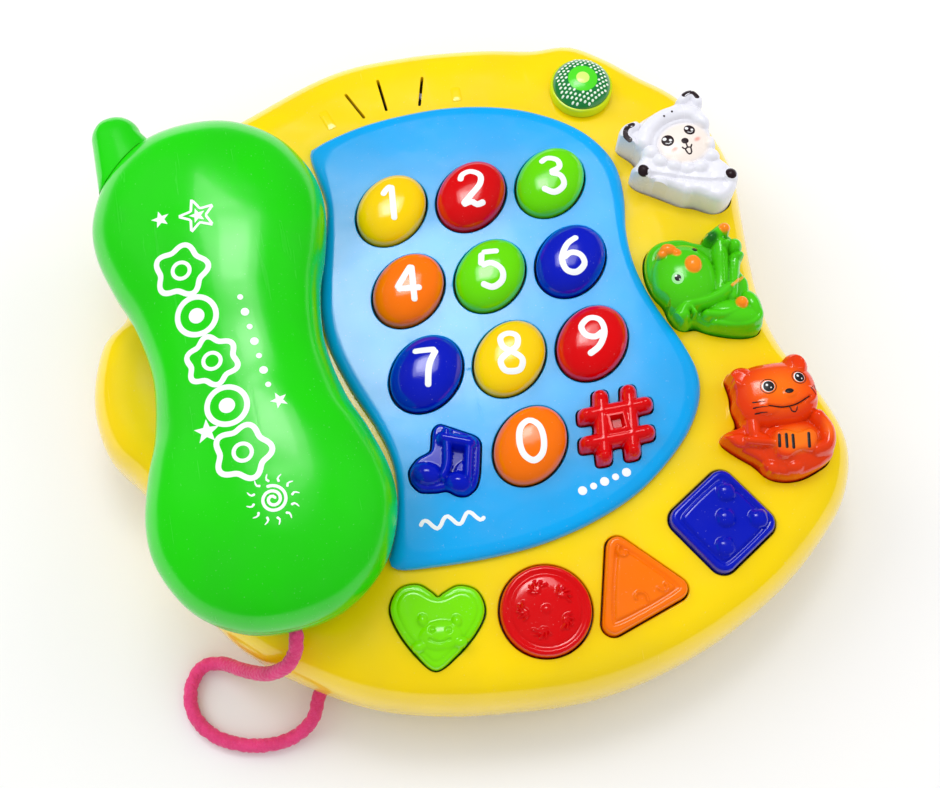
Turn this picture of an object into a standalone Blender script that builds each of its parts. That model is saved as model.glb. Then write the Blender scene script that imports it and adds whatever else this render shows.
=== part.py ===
"""Toy desk telephone with a peanut-shaped handset, a keypad and picture buttons.

Lengths in this file are millimetres; MM turns them into Blender's metres where meshes are made.
Frame: +X runs right along the key rows, +Y points away from the user, +Z is up, and the feet
stand on z = 0. Outlines are listed anticlockwise, seen from above.
"""

import math

import bpy
import numpy as np

MM = 0.001

# ---- Driving dimensions -------------------------------------------------------------------------
GAP = 0.3                       # clearance between neighbouring pieces
WALL = 2.4                      # moulded wall of the base
FOOT_HEIGHT = 1.5
SPLIT_Z = 12.0                  # joint line between the two base shells
TOP_Z = 35.0                    # flat top of the base
OUTLINE_POINTS = 48             # points round the base

# The base's widest outline.
BASE_OUTLINE = [
    (5, -108), (22, -108), (40, -105), (60, -98.5), (79, -89), (95, -77), (105, -66), (110, -52),
    (107, -36), (100, -20), (97.5, -6), (98, 10), (100, 28), (101.5, 44), (98.5, 60), (91, 75),
    (80, 85.5), (70, 95), (60, 101.5), (47, 102.5), (30, 106), (5, 108.2), (-20, 106.5), (-47, 96.5),
    (-72, 84), (-88, 66), (-94.5, 46), (-98, 31), (-106, 23), (-110.3, 6), (-108, -10), (-100.5, -21),
    (-93, -34), (-91, -50), (-84, -66), (-74, -78), (-62, -87.5), (-44, -98), (-22, -104.5),
]
# Height and inset of the base's rounded side, from the foot plane to the flat top.
BASE_PROFILE = [(1.5, 3.6), (5.0, 1.4), (15.0, 0.0), (23.0, 0.5), (28.0, 2.2), (31.6, 5.4), (33.9, 9.6),
                (35.0, 16.0)]

PANEL_OUTLINE = [
    (-32.2, 70.5), (-31.4, 62), (-30.2, 53), (-31.6, 44), (-35.2, 31), (-37.8, 18), (-37.4, 5),
    (-33.4, -9.5), (-29.0, -20.5), (-26.2, -30), (-25.6, -38), (-26.6, -46), (-29.0, -54.5),
    (-31.8, -61.5), (-29.5, -64.6), (-20, -65.8), (-4, -66.4), (12, -65.4), (28, -61.8), (43, -55.5),
    (57, -45), (65, -35), (68, -25), (66, -14), (61.5, -2), (58.5, 11), (58.5, 24), (61, 37), (61.2, 48),
    (58, 56.5), (52, 64), (42, 71), (30, 76), (14, 79), (-2, 79), (-16, 77.3), (-29.5, 73.2),
]
PANEL_FACE_Z = 38.4             # flat face that the keys stand through
PANEL_PLATE = 2.2
PANEL_SKIRT_Z = 31.0
PANEL_SKIRT_INSET = 1.2
PANEL_SKIRT_WALL = 1.3
OPENING_INSET = 0.9             # base opening, measured in from the panel's outline

KEY_COLUMNS = (-11.0, 14.0, 39.0)
KEY_ROWS = (45.2, 17.7, -9.7, -37.2)
KEY_LENGTH = 25.0               # egg key, long way
KEY_WIDTH = 19.5
KEY_LEAN = math.radians(43)     # the long axis leans right of +Y
KEY_TOP_Z = 44.2
KEY_CLEARANCE = 0.5
FLANGE_LIP = 1.0                # retaining flange beyond the hole
KEY_FLANGE_Z = (34.3, 35.7)
LOW_FLANGE_Z = (28.3, 29.8)     # flange of the buttons that pass through the base itself
STEM_RADIUS = 3.4
STEM_FOOT_Z = 27.2              # where every stem meets its rubber dome

NOTE_OUTLINE = [
    (-10.6, -25.6), (-12.6, -27.2), (-14.2, -33.6), (-18.6, -34.8), (-21.6, -37.8), (-21.7, -41.2),
    (-19.8, -44.4), (-14.8, -45.4), (-12.0, -45.2), (-9.4, -47.6), (-6.8, -48.2), (-3.8, -46.4),
    (-2.2, -43.0), (0.2, -33.4), (-0.6, -31.6),
]
NOTE_WINDOW = [(-10.7, -32.4), (-12.5, -41.8), (-9.9, -42.8), (-7.9, -39.2), (-5.1, -37.9), (-4.1, -35.2)]
NOTE_CENTRE = (-9.6, -38.2)
HASH_CENTRE = (39.6, -36.2)
HASH_REACH = 11.2               # centre to the end of a bar
HASH_OFFSET = 4.2               # centre to the middle of a bar
HASH_BAR = 2.3                  # half a bar's width
HASH_SLANT = 0.18               # lean of the upright bars
GLYPH_TOP_Z = 42.6
GLYPH_RECESS_Z = 40.6

SHAPE_TOP_Z = 37.8
CIRCLE_CENTRE = (8.0, -84.0)
CIRCLE_RADIUS = 12.75
SQUARE_CENTRE = (63.0, -69.2)
SQUARE_SIDE = 23.5
SQUARE_TURN = math.radians(31)
TRIANGLE = [(20.8, -96.2), (50.8, -86.8), (30.4, -64.4)]
HEART_CENTRE = (-22.4, -82.2)
# The heart's right half, from its point up to its notch.
HEART_HALF = [(0, -11.8), (5.6, -7.6), (10.6, -1.4), (13.0, 4.6), (10.8, 10.0), (5.8, 11.4), (1.9, 9.4),
              (0, 8.0)]
HEART_TURN = math.radians(-13)

FIGURE_TOP_Z = 46.0
LAMB_OUTLINE = [
    (63.8, 42.4), (66, 39.4), (69.5, 37.2), (74.9, 33.4), (78.2, 31), (81.8, 30.2), (87.1, 26.8),
    (91.2, 27.8), (94.4, 31), (95.2, 35.1), (93.6, 38.6), (91.4, 42), (90.9, 46.5), (91.4, 52), (91, 58.5),
    (91, 62.2), (88.6, 65.2), (85.6, 64.8), (83.4, 62.9), (76.7, 61), (72, 59.2), (68.6, 57.6), (65.1, 57),
    (62.6, 54.6), (64.4, 52.3), (67.2, 49.4), (67.8, 46.4), (65.4, 43.8),
]
DRAGON_OUTLINE = [
    (73.7, 18.4), (68.4, 18.8), (64.8, 17.8), (62.2, 15.2), (61, 11), (60.9, 6.5), (61.8, 2.4), (64.2, -1.6),
    (64.3, -5.2), (65.6, -8.5), (68, -10.2), (71, -9.4), (74, -11.6), (79, -13.8), (84.5, -15.4),
    (89, -15.4), (91.4, -12.2), (91.6, -8), (89.9, -3.2), (90.3, 1), (88.9, 5), (90.9, 9.7), (90.8, 13.2),
    (88.8, 16.6), (87.6, 19.4), (84.6, 19.8), (81.4, 18.2), (80.6, 15.6), (77.4, 16.6),
]
CAT_OUTLINE = [
    (75.2, -27.6), (75.6, -30.5), (75.7, -34.5), (74.7, -37.5), (75.4, -41), (74.6, -43.8), (70.8, -44.5),
    (68.5, -46), (70.2, -48.4), (73.5, -51.9), (77.2, -55.3), (79.2, -59), (83.8, -61.2), (88.8, -61.5),
    (93.7, -60.2), (98.2, -58.2), (100.2, -54.5), (100.6, -49.8), (98.2, -44), (99.5, -40), (98.9, -34.8),
    (97.7, -29.2), (95.8, -26.2), (92.6, -26.6), (87, -27.2), (81, -27.4), (77.6, -26.9),
]
FIGURE_STEMS = {"lamb": (80, 47), "dragon": (75, 2.5), "cat": (87, -42)}
FIGURE_HOLLOW = 7.0             # radius of the hollow round a figure's stem
SHAPE_HOLLOW = {"heart": 6.6, "circle": 10.0, "triangle": 6.4, "square": 9.0}

LENS_CENTRE = (57.0, 78.0)
LENS_RADIUS = 10.0
LENS_TOP_Z = 43.0

HANDSET_CENTRE = (-62.75, 0.0)
HANDSET_TURN = math.radians(2.8)
# Half of the handset's outline: distance from its long axis, distance along it.
HANDSET_QUARTER = [(0, 78), (14, 75.6), (26, 67), (32.8, 54), (33.9, 42), (31, 29), (26.8, 16.5), (24.6, 0)]
HANDSET_SPLIT_Z = 50.0
HANDSET_LOWER = [(37.0, 9.0), (38.4, 5.4), (41.0, 2.4), (45.0, 0.5), (49.85, 0.0)]
HANDSET_UPPER = [(50.15, 0.0), (54.0, 0.6), (58.5, 3.0), (62.5, 7.2), (65.3, 12.6), (66.6, 17.6)]
HANDSET_WALL = 2.2
CUP_ALONG = 46.0                # ear and mouth cups, along the handset from its middle
CUP_RADIUS = 16.5
CUP_FOOT_Z = 27.3
WELL_RADIUS = 18.0
WELL_FLOOR_Z = 27.0
WELL_WALL = 2.0
HANDSET_SCREW_ALONG = 14.0

ANTENNA_ROOT = (-81.0, 62.0, 51.0)
ANTENNA_TIP = (-88.3, 77.8, 51.0)
ANTENNA_FOOT = (-86.9, 67.7, 51.0)
ANTENNA_INNER = (-82.4, 63.4, 51.0)
ANTENNA_RADIUS = 7.4
ANTENNA_HALF_HEIGHT = 6.2

CORD_RADIUS = 2.0
CORD_HOLE_RADIUS = 3.1
# From the knot inside the handset, over the base's shoulder, round its loop on the table and
# into the base's front-left wall.
CORD_ROUTE = [
    (-60.4, -70.6, 43.8), (-60.1, -74.5, 43.6), (-60.2, -78.6, 42.4), (-61.6, -82.0, 38.4),
    (-65.2, -84.4, 33.4), (-71.4, -83.6, 25.0), (-78.8, -79.2, 13.2), (-85.4, -74.6, 4.6),
    (-91.6, -74.0, 2.2), (-95.6, -79.0, 2.2), (-96.2, -86.0, 2.2), (-92.6, -92.8, 2.2),
    (-85.6, -97.6, 2.2), (-76.8, -100.0, 2.2), (-68.4, -99.4, 2.6), (-62.2, -96.0, 5.0),
    (-59.4, -90.8, 6.8), (-57.4, -86.2, 7.2),
]
CORD_STEP = 3.6                 # spacing of the points that the tube runs through

SCREW_SEAT_Z = 8.5
SCREW_POSTS = [(28, 96), (-42, 88), (92, -21), (91, -67), (-99, 4), (-42, -88)]
BOARD_POSTS = [(-24, 56), (77, 24), (79, -26), (-26, -58)]
FEET = [(-72, 66), (72, 80), (88, -60), (-62, -70)]

BOARD_Z = (21.5, 23.1)
BOARD_OUTLINE = [
    (-32, 66), (-32, -70), (-27, -90), (8, -95), (40, -93), (72, -76), (88, -60), (93, -42), (87, -24),
    (84, 10), (88, 52), (70, 70), (66, 84), (50, 84), (46, 66),
]
MAT_Z = (23.4, 24.6)
MAT_OUTLINE = [
    (-26, 60), (-26, -86), (8, -93), (40, -91), (70, -74), (86, -58), (91, -42), (85, -26),
    (82, 10), (85, 50), (66, 58), (46, 60),
]
DOME_TOP_Z = 26.9

CELL_RADIUS = 7.25
CELL_LENGTH = 49.5
CELL_PITCH = 15.2
COIL_POINTS = 6                 # points in each turn of a contact spring
BAY_CENTRE = (14.0, 2.0)
BAY_SIZE = (60.4, 47.0)
BAY_ROOF_Z = (19.3, 20.9)
DOOR_Z = (1.6, 3.6)
DOOR_EAR = 14.0                 # length of the door beyond the bay, where its screw sits

SPEAKER_CENTRE = (-5.0, 84.0)
SPEAKER_RADIUS = 14.0


# ---- Outlines -----------------------------------------------------------------------------------
def smooth_loop(controls, count):
    """A closed Catmull-Rom curve through the controls, as count evenly spaced points."""
    points = np.array(controls, dtype=float)
    steps = np.linspace(0.0, 1.0, 24, endpoint=False)[:, None]
    pieces = []
    for index in range(len(points)):
        p0, p1, p2, p3 = (points[(index + k) % len(points)] for k in (-1, 0, 1, 2))
        pieces.append(0.5 * (2 * p1 + (p2 - p0) * steps + (2 * p0 - 5 * p1 + 4 * p2 - p3) * steps**2
                             + (3 * p1 - 3 * p2 + p3 - p0) * steps**3))
    curve = np.vstack(pieces)
    closed = np.vstack([curve, curve[:1]])
    run = np.concatenate([[0.0], np.cumsum(np.linalg.norm(np.diff(closed, axis=0), axis=1))])
    wanted = np.linspace(0.0, run[-1], count, endpoint=False)
    return np.column_stack([np.interp(wanted, run, closed[:, axis]) for axis in range(2)])


def smooth_path(controls, step):
    """An open smooth curve through 3-D controls, as points about step apart."""
    points = np.array(controls, dtype=float)
    padded = np.vstack([2 * points[0] - points[1], points, 2 * points[-1] - points[-2]])
    steps = np.linspace(0.0, 1.0, 24, endpoint=False)[:, None]
    pieces = []
    for index in range(1, len(padded) - 2):
        p0, p1, p2, p3 = padded[index - 1:index + 3]
        pieces.append(0.5 * (2 * p1 + (p2 - p0) * steps + (2 * p0 - 5 * p1 + 4 * p2 - p3) * steps**2
                             + (3 * p1 - 3 * p2 + p3 - p0) * steps**3))
    curve = np.vstack(pieces + [points[-1:]])
    run = np.concatenate([[0.0], np.cumsum(np.linalg.norm(np.diff(curve, axis=0), axis=1))])
    wanted = np.linspace(0.0, run[-1], int(round(run[-1] / step)) + 1)
    return np.column_stack([np.interp(wanted, run, curve[:, axis]) for axis in range(3)])


def inset(loop, distance):
    """The outline moved inwards by distance, or outwards where distance is negative."""
    points = np.array(loop, dtype=float)
    steps = max(1, int(abs(distance) / 1.5))
    for _ in range(steps):
        ahead = np.roll(points, -1, axis=0) - points
        ahead /= np.linalg.norm(ahead, axis=1)[:, None]
        behind = np.roll(ahead, 1, axis=0)
        normal = np.column_stack([-(ahead + behind)[:, 1], (ahead + behind)[:, 0]])
        length = np.linalg.norm(normal, axis=1)[:, None]
        points = points + normal / length * (distance / steps) * (2.0 / np.maximum(length, 1.2))
    return points


def circle(centre, radius, count=20):
    angles = np.arange(count) * 2 * math.pi / count
    return np.column_stack([centre[0] + radius * np.cos(angles), centre[1] + radius * np.sin(angles)])


def turned(points, angle, centre=(0.0, 0.0)):
    """Points turned by angle about the origin and then moved to centre."""
    points = np.array(points, dtype=float)
    c, s = math.cos(angle), math.sin(angle)
    return np.column_stack([centre[0] + points[:, 0] * c - points[:, 1] * s,
                            centre[1] + points[:, 0] * s + points[:, 1] * c])


def egg(centre, length, width, count=14):
    """An ellipse whose long axis leans right of +Y by KEY_LEAN."""
    angles = np.arange(count) * 2 * math.pi / count
    flat = np.column_stack([width / 2 * np.cos(angles), length / 2 * np.sin(angles)])
    return turned(flat, -KEY_LEAN, centre)


def rectangle(centre, size, angle=0.0):
    x, y = size[0] / 2, size[1] / 2
    return turned([(-x, -y), (x, -y), (x, y), (-x, y)], angle, centre)


def rounded_polygon(corners, radius, arc_points=4):
    """A polygon whose corners are arcs of the given radius."""
    corners = np.array(corners, dtype=float)
    outline = []
    for index, corner in enumerate(corners):
        to_last = corners[index - 1] - corner
        to_next = corners[(index + 1) % len(corners)] - corner
        to_last /= np.linalg.norm(to_last)
        to_next /= np.linalg.norm(to_next)
        half = math.acos(float(np.dot(to_last, to_next))) / 2
        middle = to_last + to_next
        centre = corner + middle / np.linalg.norm(middle) * radius / math.sin(half)
        start = corner + to_last * radius / math.tan(half) - centre
        sweep = math.pi - 2 * half
        for step in range(arc_points + 1):
            outline.append(turned([start], sweep * step / arc_points, centre)[0])
    return np.array(outline)


def heart(centre, angle, count=26):
    left = [(-x, y) for x, y in HEART_HALF[-2:0:-1]]
    return turned(smooth_loop(HEART_HALF + left, count), angle, centre)


def hash_outline(reach, offset, half_bar):
    """Outer boundary of a number sign, made by turning one quarter of it four times."""
    near, far = offset - half_bar, offset + half_bar
    quarter = [(reach, -far), (reach, -near), (far, -near), (far, near),
               (reach, near), (reach, far), (far, far)]
    flat = np.vstack([turned(quarter, math.pi / 2 * turn) for turn in range(4)])
    flat[:, 0] += flat[:, 1] * HASH_SLANT
    return flat + np.array(HASH_CENTRE)


def handset_outline(count=40):
    right = HANDSET_QUARTER + [(across, -along) for across, along in HANDSET_QUARTER[-2::-1]]
    left = [(-across, along) for across, along in right[-2:0:-1]]
    clockwise = right + left
    return turned(smooth_loop(clockwise[::-1], count), HANDSET_TURN, HANDSET_CENTRE)


def on_handset(across, along):
    """A place given across and along the handset, in the base's frame."""
    return tuple(turned([(across, along)], HANDSET_TURN, HANDSET_CENTRE)[0])


# ---- Mesh building ------------------------------------------------------------------------------
def ring(outline, z):
    return np.column_stack([outline, np.full(len(outline), float(z))])


def material(name, colour, roughness, metallic=0.0, alpha=1.0):
    made = bpy.data.materials.get(name)
    if made is None:
        made = bpy.data.materials.new(name)
        made.use_nodes = True
        shader = made.node_tree.nodes["Principled BSDF"]
        shader.inputs["Base Color"].default_value = (*colour, 1.0)
        shader.inputs["Roughness"].default_value = roughness
        shader.inputs["Metallic"].default_value = metallic
        shader.inputs["Alpha"].default_value = alpha
    return made


def add_object(name, vertices, faces, finish=None, origin=(0.0, 0.0, 0.0)):
    """A mesh object whose origin is at origin; vertices and origin are millimetres."""
    mesh = bpy.data.meshes.new(name)
    local = (np.array(vertices, dtype=float) - np.array(origin, dtype=float)) * MM
    mesh.from_pydata(local.tolist(), [], faces)
    mesh.shade_smooth()
    mesh.set_sharp_from_angle(angle=math.radians(35))
    made = bpy.data.objects.new(name, mesh)
    made.location = [value * MM for value in origin]
    bpy.context.collection.objects.link(made)
    if finish is not None:
        mesh.materials.append(finish)
    return made


def loft(name, rings, finish=None, origin=(0.0, 0.0, 0.0)):
    """A closed skin through rings of equal point counts, capped at both ends."""
    count = len(rings[0])
    vertices = np.vstack(rings)
    faces = [tuple(range(count))[::-1]]
    for level in range(len(rings) - 1):
        low, high = level * count, (level + 1) * count
        for index in range(count):
            after = (index + 1) % count
            faces.append((low + index, low + after, high + after, high + index))
    top = (len(rings) - 1) * count
    faces.append(tuple(range(top, top + count)))
    return add_object(name, vertices, faces, finish, origin)


def prism(name, outline, low, high, finish=None, origin=(0.0, 0.0, 0.0)):
    return loft(name, [ring(outline, low), ring(outline, high)], finish, origin)


def turned_solid(name, centre, profile, count=16, finish=None):
    """A round solid from (radius, height) pairs, first to last along its skin."""
    return loft(name, [ring(circle(centre, radius, count), z) for radius, z in profile], finish)


def round_bar(name, start, end, radius, count=12):
    """A cylinder between two points."""
    start, end = np.array(start, dtype=float), np.array(end, dtype=float)
    along = (end - start) / np.linalg.norm(end - start)
    side = np.cross(along, (0.0, 0.0, 1.0) if abs(along[2]) < 0.9 else (1.0, 0.0, 0.0))
    side /= np.linalg.norm(side)
    up = np.cross(along, side)
    angles = np.arange(count) * 2 * math.pi / count
    rim = radius * (np.outer(np.cos(angles), side) + np.outer(np.sin(angles), up))
    return loft(name, [start + rim, end + rim])


def combine(target, tool, operation):
    """Cuts the tool from the target, or joins it on, and hides the tool."""
    modifier = target.modifiers.new(tool.name, "BOOLEAN")
    modifier.operation = operation
    modifier.solver = "EXACT"
    modifier.object = tool
    tool.hide_render = True
    tool.display_type = "WIRE"


def cut(target, *tools):
    for tool in tools:
        combine(target, tool, "DIFFERENCE")


def join(target, *tools):
    for tool in tools:
        combine(target, tool, "UNION")


def keep_inside(target, tool):
    combine(target, tool, "INTERSECT")


# ---- Materials ----------------------------------------------------------------------------------
YELLOW = ("yellow_abs", (1.0, 0.76, 0.0), 0.22)
BLUE_PANEL = ("sky_blue_abs", (0.01, 0.39, 0.87), 0.25)
GREEN = ("bright_green_abs", (0.09, 0.80, 0.01), 0.18)
FINISHES = {
    "yellow": ("key_yellow_abs", (0.98, 0.70, 0.01), 0.18),
    "red": ("key_red_abs", (0.70, 0.01, 0.02), 0.18),
    "green": ("key_green_abs", (0.20, 0.72, 0.02), 0.18),
    "orange": ("key_orange_abs", (0.95, 0.20, 0.01), 0.18),
    "blue": ("key_blue_abs", (0.01, 0.04, 0.55), 0.18),
    "white": ("figure_white_abs", (0.85, 0.84, 0.90), 0.30),
    "dragon": ("figure_green_abs", (0.06, 0.55, 0.02), 0.22),
    "cat": ("figure_orange_abs", (0.88, 0.13, 0.01), 0.22),
}
STEEL = ("zinc_steel", (0.62, 0.63, 0.65), 0.30, 1.0)


# ---- Base ---------------------------------------------------------------------------------------
def base_rings(outline, profile, low, high, extra_inset=0.0, drop=0.0):
    """Rings of the base's side between two heights."""
    heights = [z - drop for z, _ in profile]
    insets = [amount + extra_inset for _, amount in profile]
    levels = [low] + [z for z in heights if low < z < high] + [high]
    return [ring(inset(outline, float(np.interp(z, heights, insets))), z) for z in levels]


def hollow_rings(outline, wall):
    """The space under the base's top, a wall's thickness in from its skin."""
    rings = [ring(inset(outline, wall + 0.6), SPLIT_Z - 4)]
    return rings + base_rings(outline, BASE_PROFILE[3:], SPLIT_Z + 4, TOP_Z - wall, wall, wall)


def make_base(outline, panel, button_holes):
    yellow = material(*YELLOW)
    top = loft("base_top_shell", base_rings(outline, BASE_PROFILE, SPLIT_Z + GAP / 2, TOP_Z), yellow)
    hollow = loft("base_top_hollow", hollow_rings(outline, WALL))
    for number, post in enumerate(SCREW_POSTS):
        cut(hollow, turned_solid(f"post_{number}", post, [(3.4, 0.0), (3.4, TOP_Z)], 8))
    cut(top, hollow)

    opening = inset(panel, OPENING_INSET)
    for number, post in enumerate(SCREW_POSTS):
        cut(top, turned_solid(f"post_bore_{number}", post, [(1.5, SPLIT_Z - 1), (1.5, SPLIT_Z + 12.0)], 6))
    for name, along in (("ear", CUP_ALONG), ("mouth", -CUP_ALONG)):
        centre = on_handset(0, along)
        join(top, turned_solid(f"{name}_well", centre,
                               [(WELL_RADIUS + WELL_WALL, WELL_FLOOR_Z - WELL_WALL),
                                (WELL_RADIUS + WELL_WALL, TOP_Z - 2.0)], 20))
        cut(top, turned_solid(f"{name}_well_bore", centre,
                              [(WELL_RADIUS - 1.0, WELL_FLOOR_Z), (WELL_RADIUS, TOP_Z + 4)], 20))
    cut(top, prism("panel_opening", opening, 28, TOP_Z + 4))
    for name, hole in button_holes.items():
        cut(top, prism(f"{name}_hole", hole, 26, TOP_Z + 4))
    cut(top, turned_solid("lens_hole", LENS_CENTRE, [(9.2, 28), (9.2, TOP_Z + 4)], 20))
    for number, (start, end) in enumerate(SLOTS):
        cut(top, slot_tool(f"speaker_slot_{number}", start, end, 1.1, 28, TOP_Z + 4))

    bottom_rings = base_rings(outline, BASE_PROFILE, FOOT_HEIGHT, SPLIT_Z - GAP / 2)
    bottom = loft("base_bottom_shell", bottom_rings, yellow)
    tray = [ring(inset(outline, WALL + 3.4), FOOT_HEIGHT + WALL), ring(inset(outline, WALL + 1.0), 7.0),
            ring(inset(outline, WALL + 0.6), SPLIT_Z + 4)]
    hollow = loft("tray_hollow", tray)
    for number, post in enumerate(SCREW_POSTS):
        cut(hollow, turned_solid(f"boss_{number}", post, [(4.4, 0.0), (4.4, TOP_Z)], 8))
    cut(bottom, hollow)
    outer = (BAY_SIZE[0] + 3.2, BAY_SIZE[1] + 3.2)
    join(bottom, prism("bay_block", rectangle(BAY_CENTRE, outer), FOOT_HEIGHT + 1, BAY_ROOF_Z[1]))
    join(bottom, prism("door_ledge", door_outline(2.0), FOOT_HEIGHT + 1, DOOR_Z[1] + GAP + 1.8))
    door_screw = door_screw_place()
    join(bottom, turned_solid("door_post", door_screw, [(4.0, FOOT_HEIGHT + 1), (4.0, 15.0)], 12))
    for number, post in enumerate(BOARD_POSTS):
        join(bottom, turned_solid(f"board_post_{number}", post,
                                  [(2.6, FOOT_HEIGHT + 1), (2.2, BOARD_Z[0] - GAP)], 8))
    for number, foot in enumerate(FEET):
        join(bottom, turned_solid(f"foot_{number}", foot, [(6.0, 0.0), (6.6, FOOT_HEIGHT + 1)], 12))
    cut(bottom, prism("bay_space", rectangle(BAY_CENTRE, BAY_SIZE), -1, BAY_ROOF_Z[0]))
    cut(bottom, prism("door_recess", door_outline(0.3), -1, DOOR_Z[1] + GAP))
    cut(bottom, turned_solid("door_screw_bore", door_screw, [(1.2, 0), (1.2, 13.0)], 8))
    for number, post in enumerate(SCREW_POSTS):
        bore = [(3.1, -1), (3.1, SCREW_SEAT_Z), (1.8, SCREW_SEAT_Z), (1.8, SPLIT_Z + 4)]
        cut(bottom, turned_solid(f"boss_bore_{number}", post, bore, 8))
    inner, outer = np.array(CORD_ROUTE[-1]), np.array(CORD_ROUTE[-2])
    cut(bottom, round_bar("cord_inlet", 2 * inner - outer, 3 * outer - 2 * inner, CORD_HOLE_RADIUS))
    return top, bottom


def slot_tool(name, start, end, width, low, high):
    start, end = np.array(start, dtype=float), np.array(end, dtype=float)
    run = end - start
    angle = math.atan2(run[1], run[0])
    return prism(name, rectangle((start + end) / 2, (float(np.linalg.norm(run)), width), angle), low, high)


SLOTS = [((-17.5, 91.5), (-13.0, 81.5)), ((-6.4, 94.8), (-5.6, 82.8)), ((8.0, 93.2), (5.0, 82.6))]


def door_outline(clearance=0.0):
    length = BAY_SIZE[0] + 4.0 + DOOR_EAR + 2 * clearance
    centre = (BAY_CENTRE[0] + DOOR_EAR / 2, BAY_CENTRE[1])
    return rectangle(centre, (length, BAY_SIZE[1] + 4.0 + 2 * clearance))


def door_screw_place():
    return (BAY_CENTRE[0] + BAY_SIZE[0] / 2 + 9.0, BAY_CENTRE[1])


def make_screw(name, centre, head_z, head_radius, shank_radius, length):
    """A pan-head screw driven upwards, its head at head_z."""
    steel = material(*STEEL)
    profile = [(head_radius * 0.7, head_z), (head_radius, head_z + 0.6), (head_radius, head_z + 1.8),
               (shank_radius, head_z + 1.8), (shank_radius, head_z + length - 1.0), (0.4, head_z + length)]
    return turned_solid(name, centre, profile, 10, steel)


# ---- Panel and keys -----------------------------------------------------------------------------
def make_panel(panel, holes):
    blue = material(*BLUE_PANEL)
    ceiling = PANEL_FACE_Z - PANEL_PLATE
    inner = PANEL_SKIRT_INSET + PANEL_SKIRT_WALL
    stages = [(inner, ceiling), (inner, PANEL_SKIRT_Z), (PANEL_SKIRT_INSET, PANEL_SKIRT_Z),
              (PANEL_SKIRT_INSET, TOP_Z + GAP), (0.0, TOP_Z + GAP), (0.3, PANEL_FACE_Z - 1.8),
              (1.2, PANEL_FACE_Z - 0.6), (2.8, PANEL_FACE_Z)]
    made = loft("keypad_panel", [ring(inset(panel, amount), z) for amount, z in stages], blue)
    for name, hole in holes.items():
        cut(made, prism(f"{name}_opening", hole, PANEL_SKIRT_Z, PANEL_FACE_Z + 4))
    return made


def make_egg_key(label, centre, colour):
    """A domed egg key with its retaining flange and its stem."""
    top = KEY_TOP_Z
    grow = 2 * FLANGE_LIP
    stages = [("stem", STEM_FOOT_Z), ("stem", KEY_FLANGE_Z[0]), (grow, KEY_FLANGE_Z[0]),
              (grow, KEY_FLANGE_Z[1]), (0.0, KEY_FLANGE_Z[1]), (0.0, top - 4.4), (-2.6, top - 2.2),
              (-9.0, top)]
    rings = []
    for growth, z in stages:
        if growth == "stem":
            outline = egg(centre, 2 * STEM_RADIUS, 2 * STEM_RADIUS)
        else:
            outline = egg(centre, KEY_LENGTH + growth, KEY_WIDTH + growth)
        rings.append(ring(outline, z))
    return loft(f"key_{label}", rings, material(*FINISHES[colour]), (*centre, PANEL_FACE_Z))


def add_stem(target, centre, z_high):
    join(target, turned_solid(f"{target.name}_stem", centre,
                              [(STEM_RADIUS, STEM_FOOT_Z), (STEM_RADIUS, z_high)], 10))


def make_glyph_key(name, outline, window, centre, space, colour):
    """A key with straight sides in the shape of its sign, recessed inside the sign."""
    made = prism(name, outline, KEY_FLANGE_Z[0] + 0.2, GLYPH_TOP_Z, material(*FINISHES[colour]),
                 (*centre, PANEL_FACE_Z))
    flange = prism(f"{name}_flange", inset(outline, -KEY_CLEARANCE - FLANGE_LIP), *KEY_FLANGE_Z)
    keep_inside(flange, space)
    join(made, flange)
    cut(made, prism(f"{name}_window", window, GLYPH_RECESS_Z, GLYPH_TOP_Z + 2))
    add_stem(made, centre, KEY_FLANGE_Z[1])
    return made


def make_block_button(name, outline, stem, hollow_radius, top_z, edge, space, finish):
    """A straight-sided button through the base's top, its flange trimmed to the space inside."""
    stages = [(0.0, LOW_FLANGE_Z[0]), (0.0, top_z - edge), (edge * 0.35, top_z - edge * 0.3), (edge, top_z)]
    made = loft(name, [ring(inset(outline, amount), z) for amount, z in stages], finish,
                (*stem, TOP_Z))
    flange = prism(f"{name}_flange", inset(outline, -KEY_CLEARANCE - FLANGE_LIP), *LOW_FLANGE_Z)
    keep_inside(flange, space)
    join(made, flange)
    cut(made, prism(f"{name}_hollow", circle(stem, hollow_radius, 12), LOW_FLANGE_Z[0] - 1, top_z - 2.6))
    add_stem(made, stem, top_z - 1.5)
    return made


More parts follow.
